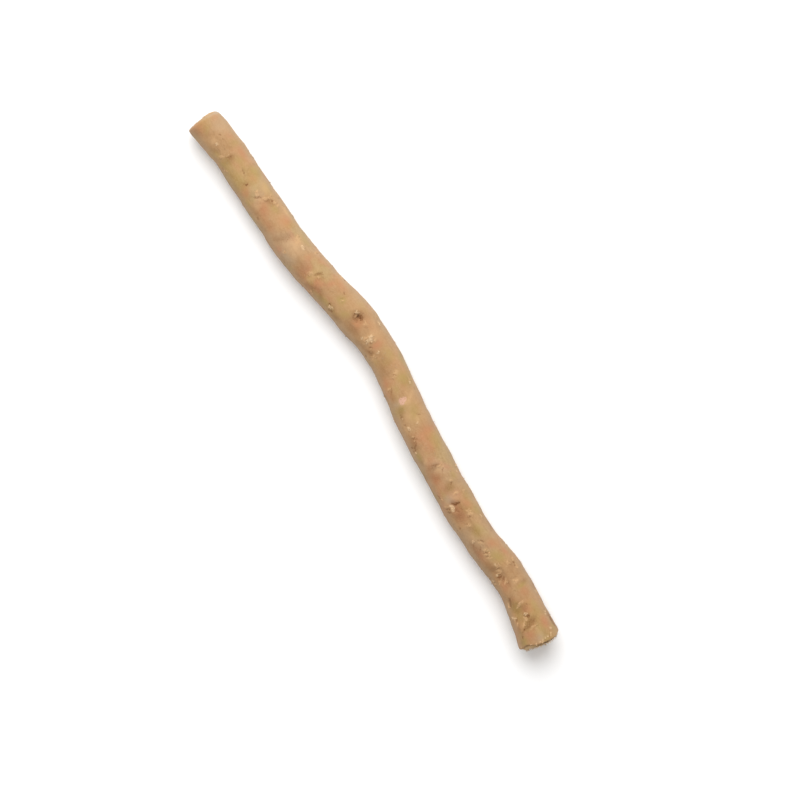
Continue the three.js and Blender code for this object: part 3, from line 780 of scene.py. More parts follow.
# How far the outlines of marks are pushed, in millimetres: along the stick, and across it
PUSHED_ALONG = (Layer(1, 1, 0.9, 3, 0.12), Layer(1, 1, 0.35, 4, 0.1))
PUSHED_ACROSS = (Layer(1, 1, 0.9, 7, 0.12), Layer(1, 1, 0.35, 8, 0.1))

# The relief of the cut wood, in millimetres: loose fibre ends and saw marks, and the height of the
# rings. Their waves out to the rim and their wobble are in radians.
FIBRE_ENDS = Layer(1, 1, 0.28, 21, 0.05)
SAW_MARKS = Layer(1, 1, 0.7, 22, 0.05)
RING_HEIGHT = 0.02
RING_WAVES = 46
RING_WOBBLE = Layer(1, 1, 1.6, 23, 1.5)


def noise_of(points, *layers):
    """The layers of noise put together, at each point."""
    total = np.zeros(len(points))
    for layer in layers:
        places = points / MM / np.array([layer.along, layer.across, layer.across])
        start = Vector([layer.seed * step for step in SEED_STEPS])
        values = [noise.noise(Vector(place) / layer.size + start) for place in places]
        total += layer.strength * np.array(values)
    return total


def uneven_shift(points):
    """How far, in millimetres, the outlines of marks are pushed along and across at each point."""
    return np.stack([noise_of(points, *PUSHED_ALONG), noise_of(points, *PUSHED_ACROSS)], 1)


def creased(values):
    """Turns smooth noise into flat ground with narrow creases in it, from 0 down to -1."""
    return -np.clip(1 - np.abs(values) / CREASE_BREADTH, 0, 1) ** 2


def bark_relief(points, settings):
    """How far the bark stands out at each point, in metres, beside its marks."""
    lumps = noise_of(points, LUMPS, SMALL_LUMPS)
    wrinkles = noise_of(points, WRINKLES) + creased(noise_of(points, CREASES))
    grain = noise_of(points, GRAIN)
    return settings.lumps * lumps + settings.wrinkles * wrinkles + settings.grain * grain


# How the bark is weathered, and the painted sheen of its flanks


# What grows from a start on, over a reach, up to its most. With a reach below 0 it grows backwards.
Rise = namedtuple("Rise", "most start reach")

# By degrees round from the top: the grey of both flanks, which is painted sheen, and how much of it is
# missing underneath
SUNNY_FLANK_SHEEN = Rise(0.6, 20, 50)
SHADY_FLANK_SHEEN = Rise(0.5, 38, 32)
SHEEN_GONE_UNDERNEATH = Rise(0.7, 82, 30)
# By millimetres along: the brown towards the cut end
BROWNING = Rise(0.09, 15, 40)
# By the share of the way out to the rim of an end: the grey rim of the worn one
RIM_GREY = Rise(0.5, 0.97, -0.1)


def rising(values, rise):
    """How far into a rise values are, from 0 to 1."""
    return np.clip((values - rise.start) / rise.reach, 0, 1)


def weathered(spots, ends):
    """How grey the bark is at each spot, with painted sheen on its flanks, and how brown near the cut
    end.
    """
    turn = np.degrees(spots.turn)
    # painted sheen: a grey that grows towards both flanks and fades out underneath
    sunny_sheen = SUNNY_FLANK_SHEEN.most * rising(turn, SUNNY_FLANK_SHEEN) ** 2
    shady_sheen = SHADY_FLANK_SHEEN.most * rising(-turn, SHADY_FLANK_SHEEN)
    sheen_left = 1 - SHEEN_GONE_UNDERNEATH.most * rising(np.abs(turn), SHEEN_GONE_UNDERNEATH)
    worn_rim = RIM_GREY.most * rising(ends.share, RIM_GREY) * ~ends.cut
    return {
        "grey": (sunny_sheen + shady_sheen) * sheen_left + worn_rim,
        "brown": BROWNING.most * rising(spots.along, BROWNING),
    }


# The fine mesh of the stick


WELD = 0.001 * MM
LONG_EDGE = 1.3 * MM
FINE_LEVELS = 2

# The corners round the middle of an end, the rings of faces in it, and how much of it they take up
CAP_CORNERS = 36
CAP_RINGS = 3
CAP_USED = 0.55


def cap_rings(blank, tip):
    """Makes the fan of faces in the middle of an end one face, and insets rings of faces into it. Returns
    what is left of it, the innermost face."""
    rim = set(sorted(blank.verts, key=lambda corner: (corner.co - tip).length)[:CAP_CORNERS])
    fan = [face for face in blank.faces if rim.issuperset(face.verts)]
    if len(fan) != CAP_CORNERS - 2:
        raise RuntimeError("the middle of an end isn't one ring of corners filled with faces")
    cap = bmesh.ops.dissolve_faces(blank, faces=fan)["region"][0]
    thickness = CAP_USED * math.sqrt(cap.calc_area() / math.pi) / CAP_RINGS
    for _ in range(CAP_RINGS):
        bmesh.ops.inset_region(blank, faces=[cap], thickness=thickness, use_even_offset=True)
    return cap


def is_long(edge):
    """Whether an edge is long, and runs along the stick."""
    first, second = edge.verts
    return edge.calc_length() > LONG_EDGE and abs((first.co - second.co).x) > LONG_EDGE


def stick_blank():
    """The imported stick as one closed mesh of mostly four-sided faces, ready to be made finer."""
    blank = bmesh.new()
    blank.from_mesh(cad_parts[NODE].data)
    bmesh.ops.remove_doubles(blank, verts=blank.verts, dist=WELD)
    middles = [cap_rings(blank, tip) for tip, _ in TIPS]
    triangles = [face for face in blank.faces if len(face.verts) == 3]
    bmesh.ops.join_triangles(
        blank,
        faces=triangles,
        angle_face_threshold=math.pi,
        angle_shape_threshold=math.pi,
    )
    for face in middles:
        bmesh.ops.poke(blank, faces=[face])
    long_edges = [edge for edge in blank.edges if is_long(edge)]
    bmesh.ops.subdivide_edges(blank, edges=long_edges, cuts=1, use_grid_fill=True)
    return blank


def as_mesh(blank, name):
    """The mesh of a bmesh, shaded smooth."""
    for face in blank.faces:
        face.smooth = True
    mesh = bpy.data.meshes.new(name)
    blank.to_mesh(mesh)
    blank.free()
    return mesh


def add_object(name, content):
    """Links a mesh, a light or a camera to the scene as an object."""
    item = bpy.data.objects.new(name, content)
    bpy.context.scene.collection.objects.link(item)
    return item


def fine_mesh(name):
    """The stick's surface with its facets smoothed out, as a mesh of fine faces."""
    coarse = as_mesh(stick_blank(), name + "_coarse")
    holder = add_object(name + "_coarse", coarse)
    smoothing = holder.modifiers.new("Smooth", "SUBSURF")
    smoothing.levels = FINE_LEVELS
    smoothing.render_levels = FINE_LEVELS
    shaped = holder.evaluated_get(bpy.context.evaluated_depsgraph_get())
    fine = bpy.data.meshes.new_from_object(shaped)
    fine.name = name
    bpy.data.objects.remove(holder)
    bpy.data.meshes.remove(coarse)
    return fine


# The two ends


# How many millimetres from its tip an end reaches, and the steps round in which its rim is measured
END_REACH = 3.0
RIM_STEPS = 72

# The shares of the way out to the rim where the wood stops, where the outer bark starts, and where the
# worn end's wood starts to show. How squarely a face has to face outwards to count as cut.
CORE_SHARE = 0.86
SKIN_SHARE = 0.93
WORN_CORE = Rise(1, 0.74, -0.04)
FACING_OUT = Rise(1, 0.25, 0.35)
LEAST_FACING = 0.01

EndFace = namedtuple("EndFace", "wood share turn cut")


def near_end(points, tip, way):
    """Which points lie close to an end."""
    return (points - np.array(tip)) @ np.array(way) > -END_REACH * MM


def end_faces(points, normals, spots):
    """What each point is of an end: how fully it is wood, its share of the way out to the rim, its turn,
    and whether it is on the freshly cut end. On the worn end the bark is rubbed over the rim."""
    wood = np.zeros(len(points))
    share = np.ones(len(points))
    cut = spots.along > 0
    for tip, way in TIPS:
        near = near_end(points, tip, way)
        step = np.round((spots.turn + math.pi) / (2 * math.pi) * RIM_STEPS).astype(int) % RIM_STEPS
        rim = np.zeros(RIM_STEPS)
        np.maximum.at(rim, step[near], spots.radius[near])
        reach = spots.radius / rim[step].clip(1)
        facing = rising(normals @ np.array(way), FACING_OUT)
        fresh = np.where(reach < CORE_SHARE, 1, facing)
        rubbed = rising(reach, WORN_CORE)
        wood[near] = (np.where(cut, fresh, rubbed) * (facing > LEAST_FACING))[near]
        share[near] = reach[near]
    return EndFace(wood, share, spots.turn, cut)


def wood_relief(points, ends):
    """How far the cut wood stands out, in metres."""
    fibres = noise_of(points, FIBRE_ENDS, SAW_MARKS)
    rings = RING_HEIGHT * np.sin(ends.share * RING_WAVES + noise_of(points, RING_WOBBLE))
    return (fibres + rings) * MM * ends.wood


# The crack between bark and wood, darkened with painted shade: its share of the way out, its breadth,
# and where round it is open
CRACK_SHARE = 0.865
CRACK_BREADTH = 0.03
CRACK_TURN = 16
CRACK_REACH = 34


def crack_shade_cover(ends):
    """How strongly the painted shade of the crack between bark and wood covers each point of the ends."""
    band = np.exp(-(((ends.share - CRACK_SHARE) / CRACK_BREADTH) ** 4))
    away = wrapped(ends.turn - math.radians(CRACK_TURN))
    open_side = np.exp(-((away / math.radians(CRACK_REACH)) ** 4))
    return band * ends.wood * ends.cut * open_side


# What materials are made of


# Noise in a material: its scale, its detail, its roughness, and what places along the stick are
# multiplied by, which draws it out lengthwise where it is below 1
Noise = namedtuple("Noise", "scale detail roughness squeeze", defaults=(3.0, 0.55, 1))
# How values are stretched, from one range to another
Ramp = namedtuple("Ramp", "low high to_low to_high", defaults=(0.0, 1.0))


def new_material(name):
    """A new material. Returns it, its node tree, its shader, and the output that gives the place on
    the object."""
    material = bpy.data.materials.new(name)
    material.use_nodes = True
    tree = material.node_tree
    place = tree.nodes.new("ShaderNodeTexCoord").outputs["Object"]
    return material, tree, tree.nodes["Principled BSDF"], place


def feed(tree, socket, value):
    """Gives a socket a value: the output of a node, a colour, or a plain number."""
    if isinstance(value, bpy.types.NodeSocket):
        tree.links.new(value, socket)
    elif socket.type == "RGBA":
        socket.default_value = (*value, 1)
    else:
        socket.default_value = value


def squeezed(tree, vector, squeeze):
    """A vector output with its first axis multiplied by a number."""
    node = tree.nodes.new("ShaderNodeMapping")
    node.inputs["Scale"].default_value = (squeeze, 1, 1)
    tree.links.new(vector, node.inputs["Vector"])
    return node.outputs["Vector"]


def noise_node(tree, vector, texture, output="Fac"):
    """A noise texture read at a vector output."""
    node = tree.nodes.new("ShaderNodeTexNoise")
    node.inputs["Scale"].default_value = texture.scale
    node.inputs["Detail"].default_value = texture.detail
    node.inputs["Roughness"].default_value = texture.roughness
    if texture.squeeze != 1:
        vector = squeezed(tree, vector, texture.squeeze)
    tree.links.new(vector, node.inputs["Vector"])
    return node.outputs[output]


def cell_node(tree, vector, scale, feature="F1"):
    """The distances in a texture of cells read at a vector output."""
    node = tree.nodes.new("ShaderNodeTexVoronoi")
    node.feature = feature
    node.inputs["Scale"].default_value = scale
    tree.links.new(vector, node.inputs["Vector"])
    return node.outputs["Distance"]


def spread(tree, value, ramp):
    """A value output stretched by a ramp, and kept within it."""
    node = tree.nodes.new("ShaderNodeMapRange")
    node.interpolation_type = "SMOOTHSTEP"
    tree.links.new(value, node.inputs["Value"])
    for socket, number in zip(("From Min", "From Max", "To Min", "To Max"), ramp):
        node.inputs[socket].default_value = number
    return node.outputs["Result"]


# The numbers of the sockets of a Mix node that mixes colours
MIX_FACTOR = 0
MIX_UNDER = 6
MIX_OVER = 7
MIX_RESULT = 2


def mixed(tree, factor, under, over):
    """One colour over another by a factor."""
    node = tree.nodes.new("ShaderNodeMix")
    node.data_type = "RGBA"
    feed(tree, node.inputs[MIX_UNDER], under)
    feed(tree, node.inputs[MIX_OVER], over)
    feed(tree, node.inputs[MIX_FACTOR], factor)
    return node.outputs[MIX_RESULT]


def attribute(tree, name, output="Fac"):
    """The output of one of the mesh's own attributes."""
    node = tree.nodes.new("ShaderNodeAttribute")
    node.attribute_name = name
    return node.outputs[output]


def reckoned(tree, operation, first, second=0):
    """Two values put together by an operation."""
    node = tree.nodes.new("ShaderNodeMath")
    node.operation = operation
    feed(tree, node.inputs[0], first)
    feed(tree, node.inputs[1], second)
    return node.outputs["Value"]


# The material of the bark


# A layer in the colour of the bark: the colour that it lays over the layers before it, the noise that
# it follows, and how that noise is stretched to be its strength
Tinge = namedtuple("Tinge", "colour noise ramp")
TINGES = {
    "rosy": Tinge("rosy", Noise(95, 2.0), Ramp(0.48, 0.62, 0.0, 0.75)),
    "olive": Tinge("olive", Noise(120, 2.0, 0.55, 0.8), Ramp(0.5, 0.64, 0.0, 0.75)),
    "bleached": Tinge("grey", Noise(70), Ramp(0.52, 0.66, 0.0, 0.3)),
    "grain": Tinge("pale", Noise(2600, 4.0, 0.65), Ramp(0.35, 0.7, 0.0, 0.16)),
    "streaks": Tinge("dark", Noise(1500, 3.0, 0.55, 0.16), Ramp(0.5, 0.75, 0.0, 0.14)),
    "clouds": Tinge("dark", Noise(520, 3.0, 0.6), Ramp(0.45, 0.75, 0.0, 0.12)),
}

# The net of cracks: its scale, how it is drawn out, what makes its lines wander and how far, how
# broad they are, where the bark is dry enough for them, and how dark they are
NET_SCALE = 700
NET_SQUEEZE = 0.35
NET_WANDER = Noise(900, 2.0, 0.5)
NET_WANDER_REACH = 1.2 * MM
NET_LINES = Ramp(0.0, 0.07, 1.0, 0.0)
DRYNESS = Noise(210)
DRY = Ramp(0.42, 0.62)
NET_DARKNESS = 0.12

# What breaks up the marks: the soft ones into clumps, the torn ones along a ragged edge
TORN = Noise(3200, 3.0, 0.6)
CLUMPS = Ramp(0.3, 0.7, 0.7, 1.2)
RAGGED = Ramp(0.3, 0.7, 0.35, 1.5)
TORN_EDGE = (0.15, 0.75)

# The wood of the ends: fibres, streaks from the middle outwards, rings, pores, and how far the worn
# end has taken on the colour of the bark
FIBRES = Noise(1700, 4.0, 0.7)
PALE_FIBRES = Ramp(0.35, 0.65)
RAY_REACH = 0.3
RAYS = Noise(14, 2.0)
RAY_STREAKS = Ramp(0.45, 0.7, 0.0, 0.35)
RING_PITCH = 62
RING_WANDER = 0.12
RINGS = Ramp(0.3, 1.0, 0.0, 0.22)
PORE_SCALE = 5200
PORES = Ramp(0.1, 0.32, 0.4, 0.0)
STALE = Ramp(0, 1, 0.6, 0.0)

BARK_ROUGHNESS = Ramp(0.3, 0.7, 0.72, 0.9)
BARK_SHINE = 0.3
BUMP_STRENGTH = 0.7
BUMP_HEIGHT = 0.04 * MM


def crack_net(tree, place):
    """A fine net of shallow cracks, drawn out along the stick and fading in and out."""
    wander = tree.nodes.new("ShaderNodeVectorMath")
    wander.operation = "MULTIPLY_ADD"
    tree.links.new(noise_node(tree, place, NET_WANDER, "Color"), wander.inputs[0])
    wander.inputs[1].default_value = (NET_WANDER_REACH,) * 3
    tree.links.new(squeezed(tree, place, NET_SQUEEZE), wander.inputs[2])
    distance = cell_node(tree, wander.outputs["Vector"], NET_SCALE, "DISTANCE_TO_EDGE")
    dry = spread(tree, noise_node(tree, place, DRYNESS), DRY)
    inside_rim = spread(tree, attribute(tree, "share"), Ramp(SKIN_SHARE, 1.0))
    cracks = reckoned(tree, "MULTIPLY", spread(tree, distance, NET_LINES), dry)
    return reckoned(tree, "MULTIPLY", cracks, inside_rim)


def marked(tree, place, bark, settings):
    """The colour of the bark with its marks on it."""
    torn = noise_node(tree, place, TORN)
    clumps = spread(tree, torn, CLUMPS)
    for tint, name in SOFT_TINTS.items():
        cover = reckoned(tree, "MULTIPLY", attribute(tree, tint), clumps)
        bark = mixed(tree, cover, bark, getattr(settings, name))
    ragged = spread(tree, torn, RAGGED)
    for tint, (name, most) in TORN_TINTS.items():
        cover = reckoned(tree, "MULTIPLY", attribute(tree, tint), ragged)
        cover = spread(tree, cover, Ramp(*TORN_EDGE, 0.0, most))
        bark = mixed(tree, cover, bark, getattr(settings, name))
    return bark


def wood_colour(tree, place, clouds, settings):
    """The colour of the wood of the ends: pale fibres, streaks, rings and small pores."""
    fibres = spread(tree, noise_node(tree, place, FIBRES), PALE_FIBRES)
    wood = mixed(tree, fibres, settings.wood, settings.pale)
    streaks = spread(tree, noise_node(tree, attribute(tree, "rays", "Vector"), RAYS), RAY_STREAKS)
    wood = mixed(tree, streaks, wood, settings.tan)
    wander = reckoned(tree, "MULTIPLY", clouds, RING_WANDER)
    waves = reckoned(tree, "ADD", attribute(tree, "share"), wander)
    waves = reckoned(tree, "SINE", reckoned(tree, "MULTIPLY", waves, RING_PITCH))
    wood = mixed(tree, spread(tree, waves, RINGS), wood, settings.tan)
    pores = spread(tree, cell_node(tree, place, PORE_SCALE), PORES)
    wood = mixed(tree, pores, wood, settings.dark)
    inner_bark = spread(tree, attribute(tree, "share"), Ramp(CORE_SHARE, SKIN_SHARE))
    wood = mixed(tree, inner_bark, wood, settings.tan)
    stale = spread(tree, attribute(tree, "cut"), STALE)
    return mixed(tree, stale, wood, settings.tan)


def bark_material(settings):
    """Dull tan bark in olive and rosy patches, with its marks, and the pale wood of the ends."""
    material, tree, shader, place = new_material("bark")
    bark = settings.tan
    noises = {}
    for name, tinge in TINGES.items():
        noises[name] = noise_node(tree, place, tinge.noise)
        cover = spread(tree, noises[name], tinge.ramp)
        bark = mixed(tree, cover, bark, getattr(settings, tinge.colour))
    cracks = crack_net(tree, place)
    bark = mixed(tree, reckoned(tree, "MULTIPLY", cracks, NET_DARKNESS), bark, settings.dark)
    bark = marked(tree, place, bark, settings)
    wood = wood_colour(tree, place, noises["clouds"], settings)
    whole = mixed(tree, attribute(tree, "wood"), bark, wood)
    # painted shade in the crack between bark and wood at the cut
    whole = mixed(tree, attribute(tree, "crack"), whole, settings.crevice_shade)
    tree.links.new(whole, shader.inputs["Base Color"])
    tree.links.new(spread(tree, noises["clouds"], BARK_ROUGHNESS), shader.inputs["Roughness"])
    shader.inputs["Specular IOR Level"].default_value = BARK_SHINE

    bump = tree.nodes.new("ShaderNodeBump")
    bump.inputs["Strength"].default_value = BUMP_STRENGTH
    bump.inputs["Distance"].default_value = BUMP_HEIGHT
    raised = reckoned(tree, "ADD", noises["grain"], noises["streaks"])
    tree.links.new(reckoned(tree, "SUBTRACT", raised, cracks), bump.inputs["Height"])
    tree.links.new(bump.outputs["Normal"], shader.inputs["Normal"])
    return material


# The other materials


# A plain material of two colours: the noise and the ramp by which the second lies over the first, its
# roughness and its shine
Blend = namedtuple("Blend", "noise ramp roughness shine")
TORN_BARK = Blend(Noise(3000, 3.0, 0.55, 0.4), Ramp(0.4, 0.7, 0.0, 0.7), 0.85, 0.3)
LOOSE_FIBRE = Blend(Noise(1300), Ramp(0.4, 0.62), 0.9, 0.25)
WHITE_TABLE = Blend(Noise(40, 2.0), Ramp(0.3, 0.7, 0.0, 0.01), 0.9, 0.1)
DUST = (0.7, 0.7, 0.7)


def blended_material(name, blend, main, other):
    """A material of one colour that shades into another."""
    material, tree, shader, place = new_material(name)
    cover = spread(tree, noise_node(tree, place, blend.noise), blend.ramp)
    tree.links.new(mixed(tree, cover, main, other), shader.inputs["Base Color"])
    shader.inputs["Roughness"].default_value = blend.roughness
    shader.inputs["Specular IOR Level"].default_value = blend.shine
    return material


# The stick


def add_piece(name, mesh, material):
    """Links a mesh as a piece of the object, in the frame's own place, riding on the only body."""
    mesh.materials.clear()
    mesh.materials.append(material)
    piece = add_object(name, mesh)
    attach(piece, BODY)
    return piece


# The map that the stick's look is baked on. Lengths of bark are rolled out flat on it, in rows, with
# the two ends in a row above them.
BAKE_MAP = "OFBake"
BARK_LENGTHS = 6
LENGTHS_IN_A_ROW = 2
BARK_ROWS = BARK_LENGTHS // LENGTHS_IN_A_ROW
ENDS_HEIGHT = 0.13
ENDS_ACROSS = 13 * MM
MAP_MARGIN = 0.02
END_FACING = 0.35


def in_cell(column, row, across, up):
    """Places from 0 to 1 on a cell of the map, moved off its edges, and set where the cell begins."""
    inner = 1 - 2 * MAP_MARGIN
    return np.stack([column + MAP_MARGIN + inner * across, row + MAP_MARGIN + inner * up], 1)


def in_lengths(spots):
    """How far along the stick spots are, counted in the lengths of bark on the map."""
    return (spots.along * MM - LOW.x) / (HIGH.x - LOW.x) * BARK_LENGTHS


def rolled_out(places, middles):
    """Where places on the bark lie on the map, each on the length of bark that its face belongs to."""
    spots = spots_on_bark(places)
    middle_spots = spots_on_bark(middles)
    length = np.floor(in_lengths(middle_spots)).clip(0, BARK_LENGTHS - 1)
    across = in_lengths(spots) - length
    up = (middle_spots.turn + wrapped(spots.turn - middle_spots.turn)) / math.tau + 0.5
    flat = in_cell(length % LENGTHS_IN_A_ROW, length // LENGTHS_IN_A_ROW, across, up)
    return flat / (LENGTHS_IN_A_ROW, BARK_ROWS / (1 - ENDS_HEIGHT))


def laid_out(places, column, tip, way):
    """Where places on an end lie on the map."""
    side = Vector((0, 0, 1)).cross(way).normalized()
    away = places - np.array(tip)
    across, up = (away @ np.array(axis) / ENDS_ACROSS + 0.5 for axis in (side, way.cross(side)))
    return in_cell(column, 0, across, up) * (1 / len(TIPS), ENDS_HEIGHT) + (0, 1 - ENDS_HEIGHT)


def lay_flat(mesh):
    """Gives the stick a map of its own to be baked on."""
    corners = np.zeros(len(mesh.loops), np.int32)
    mesh.loops.foreach_get("vertex_index", corners)
    sides = np.zeros(len(mesh.polygons), np.int32)
    mesh.polygons.foreach_get("loop_total", sides)
    face = np.repeat(np.arange(len(sides)), sides)
    places = vectors(mesh.vertices, "co")[corners]
    middles = vectors(mesh.polygons, "center")
    facing = vectors(mesh.polygons, "normal")
    share = end_faces(middles, facing, spots_on_bark(middles)).share
    flat = rolled_out(places, middles[face])
    for column, (tip, way) in enumerate(TIPS):
        outwards = (share < SKIN_SHARE) | (facing @ np.array(way) > END_FACING)
        on_end = (near_end(middles, tip, way) & outwards)[face]
        flat[on_end] = laid_out(places[on_end], column, tip, way)
    mesh.uv_layers.new(name=BAKE_MAP).uv.foreach_set("vector", flat.astype(np.float32).ravel())


def store(mesh, name, values):
    """Keeps a number for each point of a mesh, for its material to read."""
    layer = mesh.attributes.new(name, "FLOAT", "POINT")
    layer.data.foreach_set("value", np.clip(values, 0, 1).astype(np.float32))


def store_rays(mesh, ends):
    """Keeps a place that changes round an end and hardly outwards, for the streaks in the wood."""
    layer = mesh.attributes.new("rays", "FLOAT_VECTOR", "POINT")
    rays = np.stack([np.cos(ends.turn), np.sin(ends.turn), RAY_REACH * ends.share], 1)
    layer.data.foreach_set("vector", rays.astype(np.float32).ravel())


def dressed_stick(settings):
    """The fine stick: marks, relief and end faces, with the numbers that its material reads."""
    mesh = fine_mesh("miswak_stick")
    points = vectors(mesh.vertices, "co")
    normals = vectors(mesh.vertex_normals, "vector")
    spots = spots_on_bark(points)
    ends = end_faces(points, normals, spots)
    shift = uneven_shift(points)
    totals = {tint: np.zeros(len(points)) for tint in [*SOFT_TINTS, *TORN_TINTS]}
    # the grey tint takes the painted sheen of both flanks as well
    totals |= weathered(spots, ends)
    height = bark_relief(points, settings) * (1 - ends.wood)
    for mark in all_marks(settings):
        kind = KINDS[mark.kind]
        cover = mark_cover(mark, spots, shift) * mark.strength * (1 - ends.wood)
        totals[kind.tint] += kind.most * cover
        height += kind.height * MM * cover
    height += wood_relief(points, ends)
    points = points + normals * height[:, None]
    points[:, 2] = points[:, 2].clip(0)
    mesh.vertices.foreach_set("co", points.ravel())
    mesh.update()
    # the crack's painted shade is kept with the other numbers
    totals |= {"wood": ends.wood, "share": ends.share, "crack": crack_shade_cover(ends), "cut": ends.cut}
    for name, total in totals.items():
        store(mesh, name, total)
    store_rays(mesh, ends)
    lay_flat(mesh)
    return mesh


# Flakes of bark and frayed fibres


STICK_NAME = "miswak_bark"
FAR_OUT = 20 * MM

# A thin leaf of bark or fibre: its sizes, how high its tip is lifted, and how thick it is
Sliver = namedtuple("Sliver", "length breadth lift thickness")
# The faces along each and across it, how far its ends are from pointed, and how far its sides droop
SLIVER_STEPS = 4
SLIVER_WIDTHS = 2
SLIVER_TAPER = 0.1
SLIVER_DROOP = 0.25

# The flakes on marks: how many a square millimetre, how many degrees they stray from their mark, and
# how far from its middle they lie, as shares of its size
FLAKE_SEED = 57
LOWEST_FLAKE = 1.2 * MM
FLAKES_PER_AREA = {"fleck": 5.0, "stroke": 1.5}
FLAKE_STRAY = {"fleck": 35, "stroke": 12}
FLAKE_ALONG = 0.3
FLAKE_ASIDE = 0.4
# Their lengths, as shares of their mark's, which counts as longer by the least; their breadth and how
# far they vary from it; their lift, as a share of their length, and how far they vary from that
FLAKE_LENGTHS = (0.45, 0.9)
FLAKE_LEAST = 0.6
FLAKE_BREADTH = 0.2
FLAKE_BREADTHS = (0.5, 1.3)
FLAKE_LIFT = 0.16
FLAKE_LIFTS = (0.4, 1.6)
FLAKE_THICKNESS = 0.05 * MM

# A fringe of fibres: on which end, how many, their share of the way out to the rim, how long they
# are, how far they splay, and round which turn they crowd
Fringe = namedtuple("Fringe", "tip count inner outer shortest longest splay crowd")
FRINGES = [
    Fringe(CUT_TIP, 170, 0.74, 0.88, 0.3, 0.75, 0.35, 18),
    Fringe(CUT_TIP, 70, 0.93, 0.985, 0.15, 0.4, 0.6, 10),
    Fringe(CUT_TIP, 60, 0.1, 0.74, 0.12, 0.35, 0.3, 0),
    Fringe(WORN_TIP, 70, 0.2, 0.85, 0.12, 0.35, 0.5, 0),
]
# How many of a fringe's fibres crowd, and over how many degrees
CROWDED = 0.7
CROWD_SPREAD = 55
# The breadth of a fibre in millimetres, and how far it varies. How far its middle stands out, as a
# share of its length, and how many millimetres behind the tip of an end its rim is looked for.
FIBRE_SEED = 41
FIBRE_THICKNESS = 0.05 * MM
FIBRE_BREADTH = 0.09
FIBRE_BREADTHS = (0.6, 1.4)
FIBRE_OUT = 0.35
RIM_BEHIND = 1.5

# The fuzz on the bark: how far along and how far round it grows, the lengths and breadth of its hairs
# in millimetres, how far they stray from the stick's own way, and how steeply they stand up
FUZZ_SEED = 77
FUZZ_ALONG = 73
FUZZ_ROUND = 140
FUZZ_LENGTHS = (0.25, 0.75)
FUZZ_BREADTH = 0.05
FUZZ_STRAY = 45
FUZZ_LIFT = 0.4
FUZZ_THICKNESS = 0.03 * MM


def seat(stick, along, turn):
    """The place on the dressed bark at millimetres along and radians round, and the way it faces."""
    middle = Vector(middle_at(along * MM))
    way = Vector((0, math.sin(turn), math.cos(turn)))
    hit, place, facing, _ = stick.ray_cast(middle + way * FAR_OUT, -way)
    if not hit:
        raise RuntimeError(f"no bark at {along} mm along")
    return place, facing


def ways_on_bark(up):
    """The ways along the stick and across it, towards +Y on top, that lie flat on bark facing up."""
    lengthwise = (Vector((1, 0, 0)) - up * up.x).normalized()
    return lengthwise, lengthwise.cross(up)


def turned(way, side, degrees):
    """Two ways at right angles, both turned so that the first goes towards the second."""
    cosine, sine = math.cos(math.radians(degrees)), math.sin(math.radians(degrees))
    return way * cosine + side * sine, side * cosine - way * sine


def add_sliver(blank, middle, way, up, sliver):
    """Adds a thin leaf with its root down and its tip lifted."""
    side = up.cross(way).normalized()
    grid = bmesh.ops.create_grid(blank, x_segments=SLIVER_STEPS, y_segments=SLIVER_WIDTHS, size=0.5)
    leaf = grid["verts"]
    for vert in leaf:
        run = vert.co.x + 0.5
        taper = math.sin(math.pi * (SLIVER_TAPER + (1 - 2 * SLIVER_TAPER) * run))
        across = vert.co.y * sliver.breadth * taper
        rise = sliver.lift * run**2 - SLIVER_DROOP * sliver.breadth * abs(2 * vert.co.y) ** 2
        vert.co = middle + way * ((run - 0.5) * sliver.length) + side * across + up * rise
    faces = list(dict.fromkeys(face for vert in leaf for face in vert.link_faces))
    bmesh.ops.solidify(blank, geom=faces, thickness=sliver.thickness)


def corner_number(part, count):
    """A number for a face or an edge, made of the numbers of its corners, out of so many."""
    number = 0
    for index in sorted(vert.index for vert in part.verts):
        number = number * count + index
    return number


def finished(blank, name):
    """The mesh of a bmesh full of slivers, with its faces pointing outwards. Solidify leaves edges and
    faces in another order on each run, so both are put in the order of their corners."""
    bmesh.ops.recalc_face_normals(blank, faces=blank.faces)
    blank.verts.index_update()
    for parts in (blank.edges, blank.faces):
        parts.sort(key=partial(corner_number, count=len(blank.verts)))
    return as_mesh(blank, name)


def scattered(mark, chance):
    """Places for the slivers of a mark: shares of its length and breadth, and degrees off its turn."""
    count = 1 + round(FLAKES_PER_AREA[mark.kind] * mark.length * mark.breadth * mark.strength)
    for _ in range(count):
        run = chance.uniform(-FLAKE_ALONG, FLAKE_ALONG)
        aside = chance.uniform(-FLAKE_ASIDE, FLAKE_ASIDE)
        yield run, aside, chance.gauss(0, FLAKE_STRAY[mark.kind])


def flake(mark, chance):
    """The sizes of one flake of a mark."""
    length = chance.uniform(*FLAKE_LENGTHS) * (mark.length + FLAKE_LEAST) / 2 * MM
    breadth = chance.uniform(*FLAKE_BREADTHS) * FLAKE_BREADTH * MM
    lift = chance.uniform(*FLAKE_LIFTS) * FLAKE_LIFT * length
    return Sliver(length, breadth, lift, FLAKE_THICKNESS)


def flake_mesh(stick, kind, marks):
    """Thin slivers of bark with lifted tips, strewn over the marks of one kind."""
    blank = bmesh.new()
    chance = random.Random(FLAKE_SEED)
    for mark in marks:
        if mark.kind != kind:
            continue
        place, up = seat(stick, mark.along, math.radians(mark.round))
        if place.z < LOWEST_FLAKE:
            continue
        way, side = turned(*ways_on_bark(up), mark.turn)
        for run, aside, stray in scattered(mark, chance):
            middle = place + way * run * mark.length * MM + side * aside * mark.breadth * MM
            add_sliver(blank, middle, turned(way, side, stray)[0], up, flake(mark, chance))
    return finished(blank, f"miswak_{kind}s")


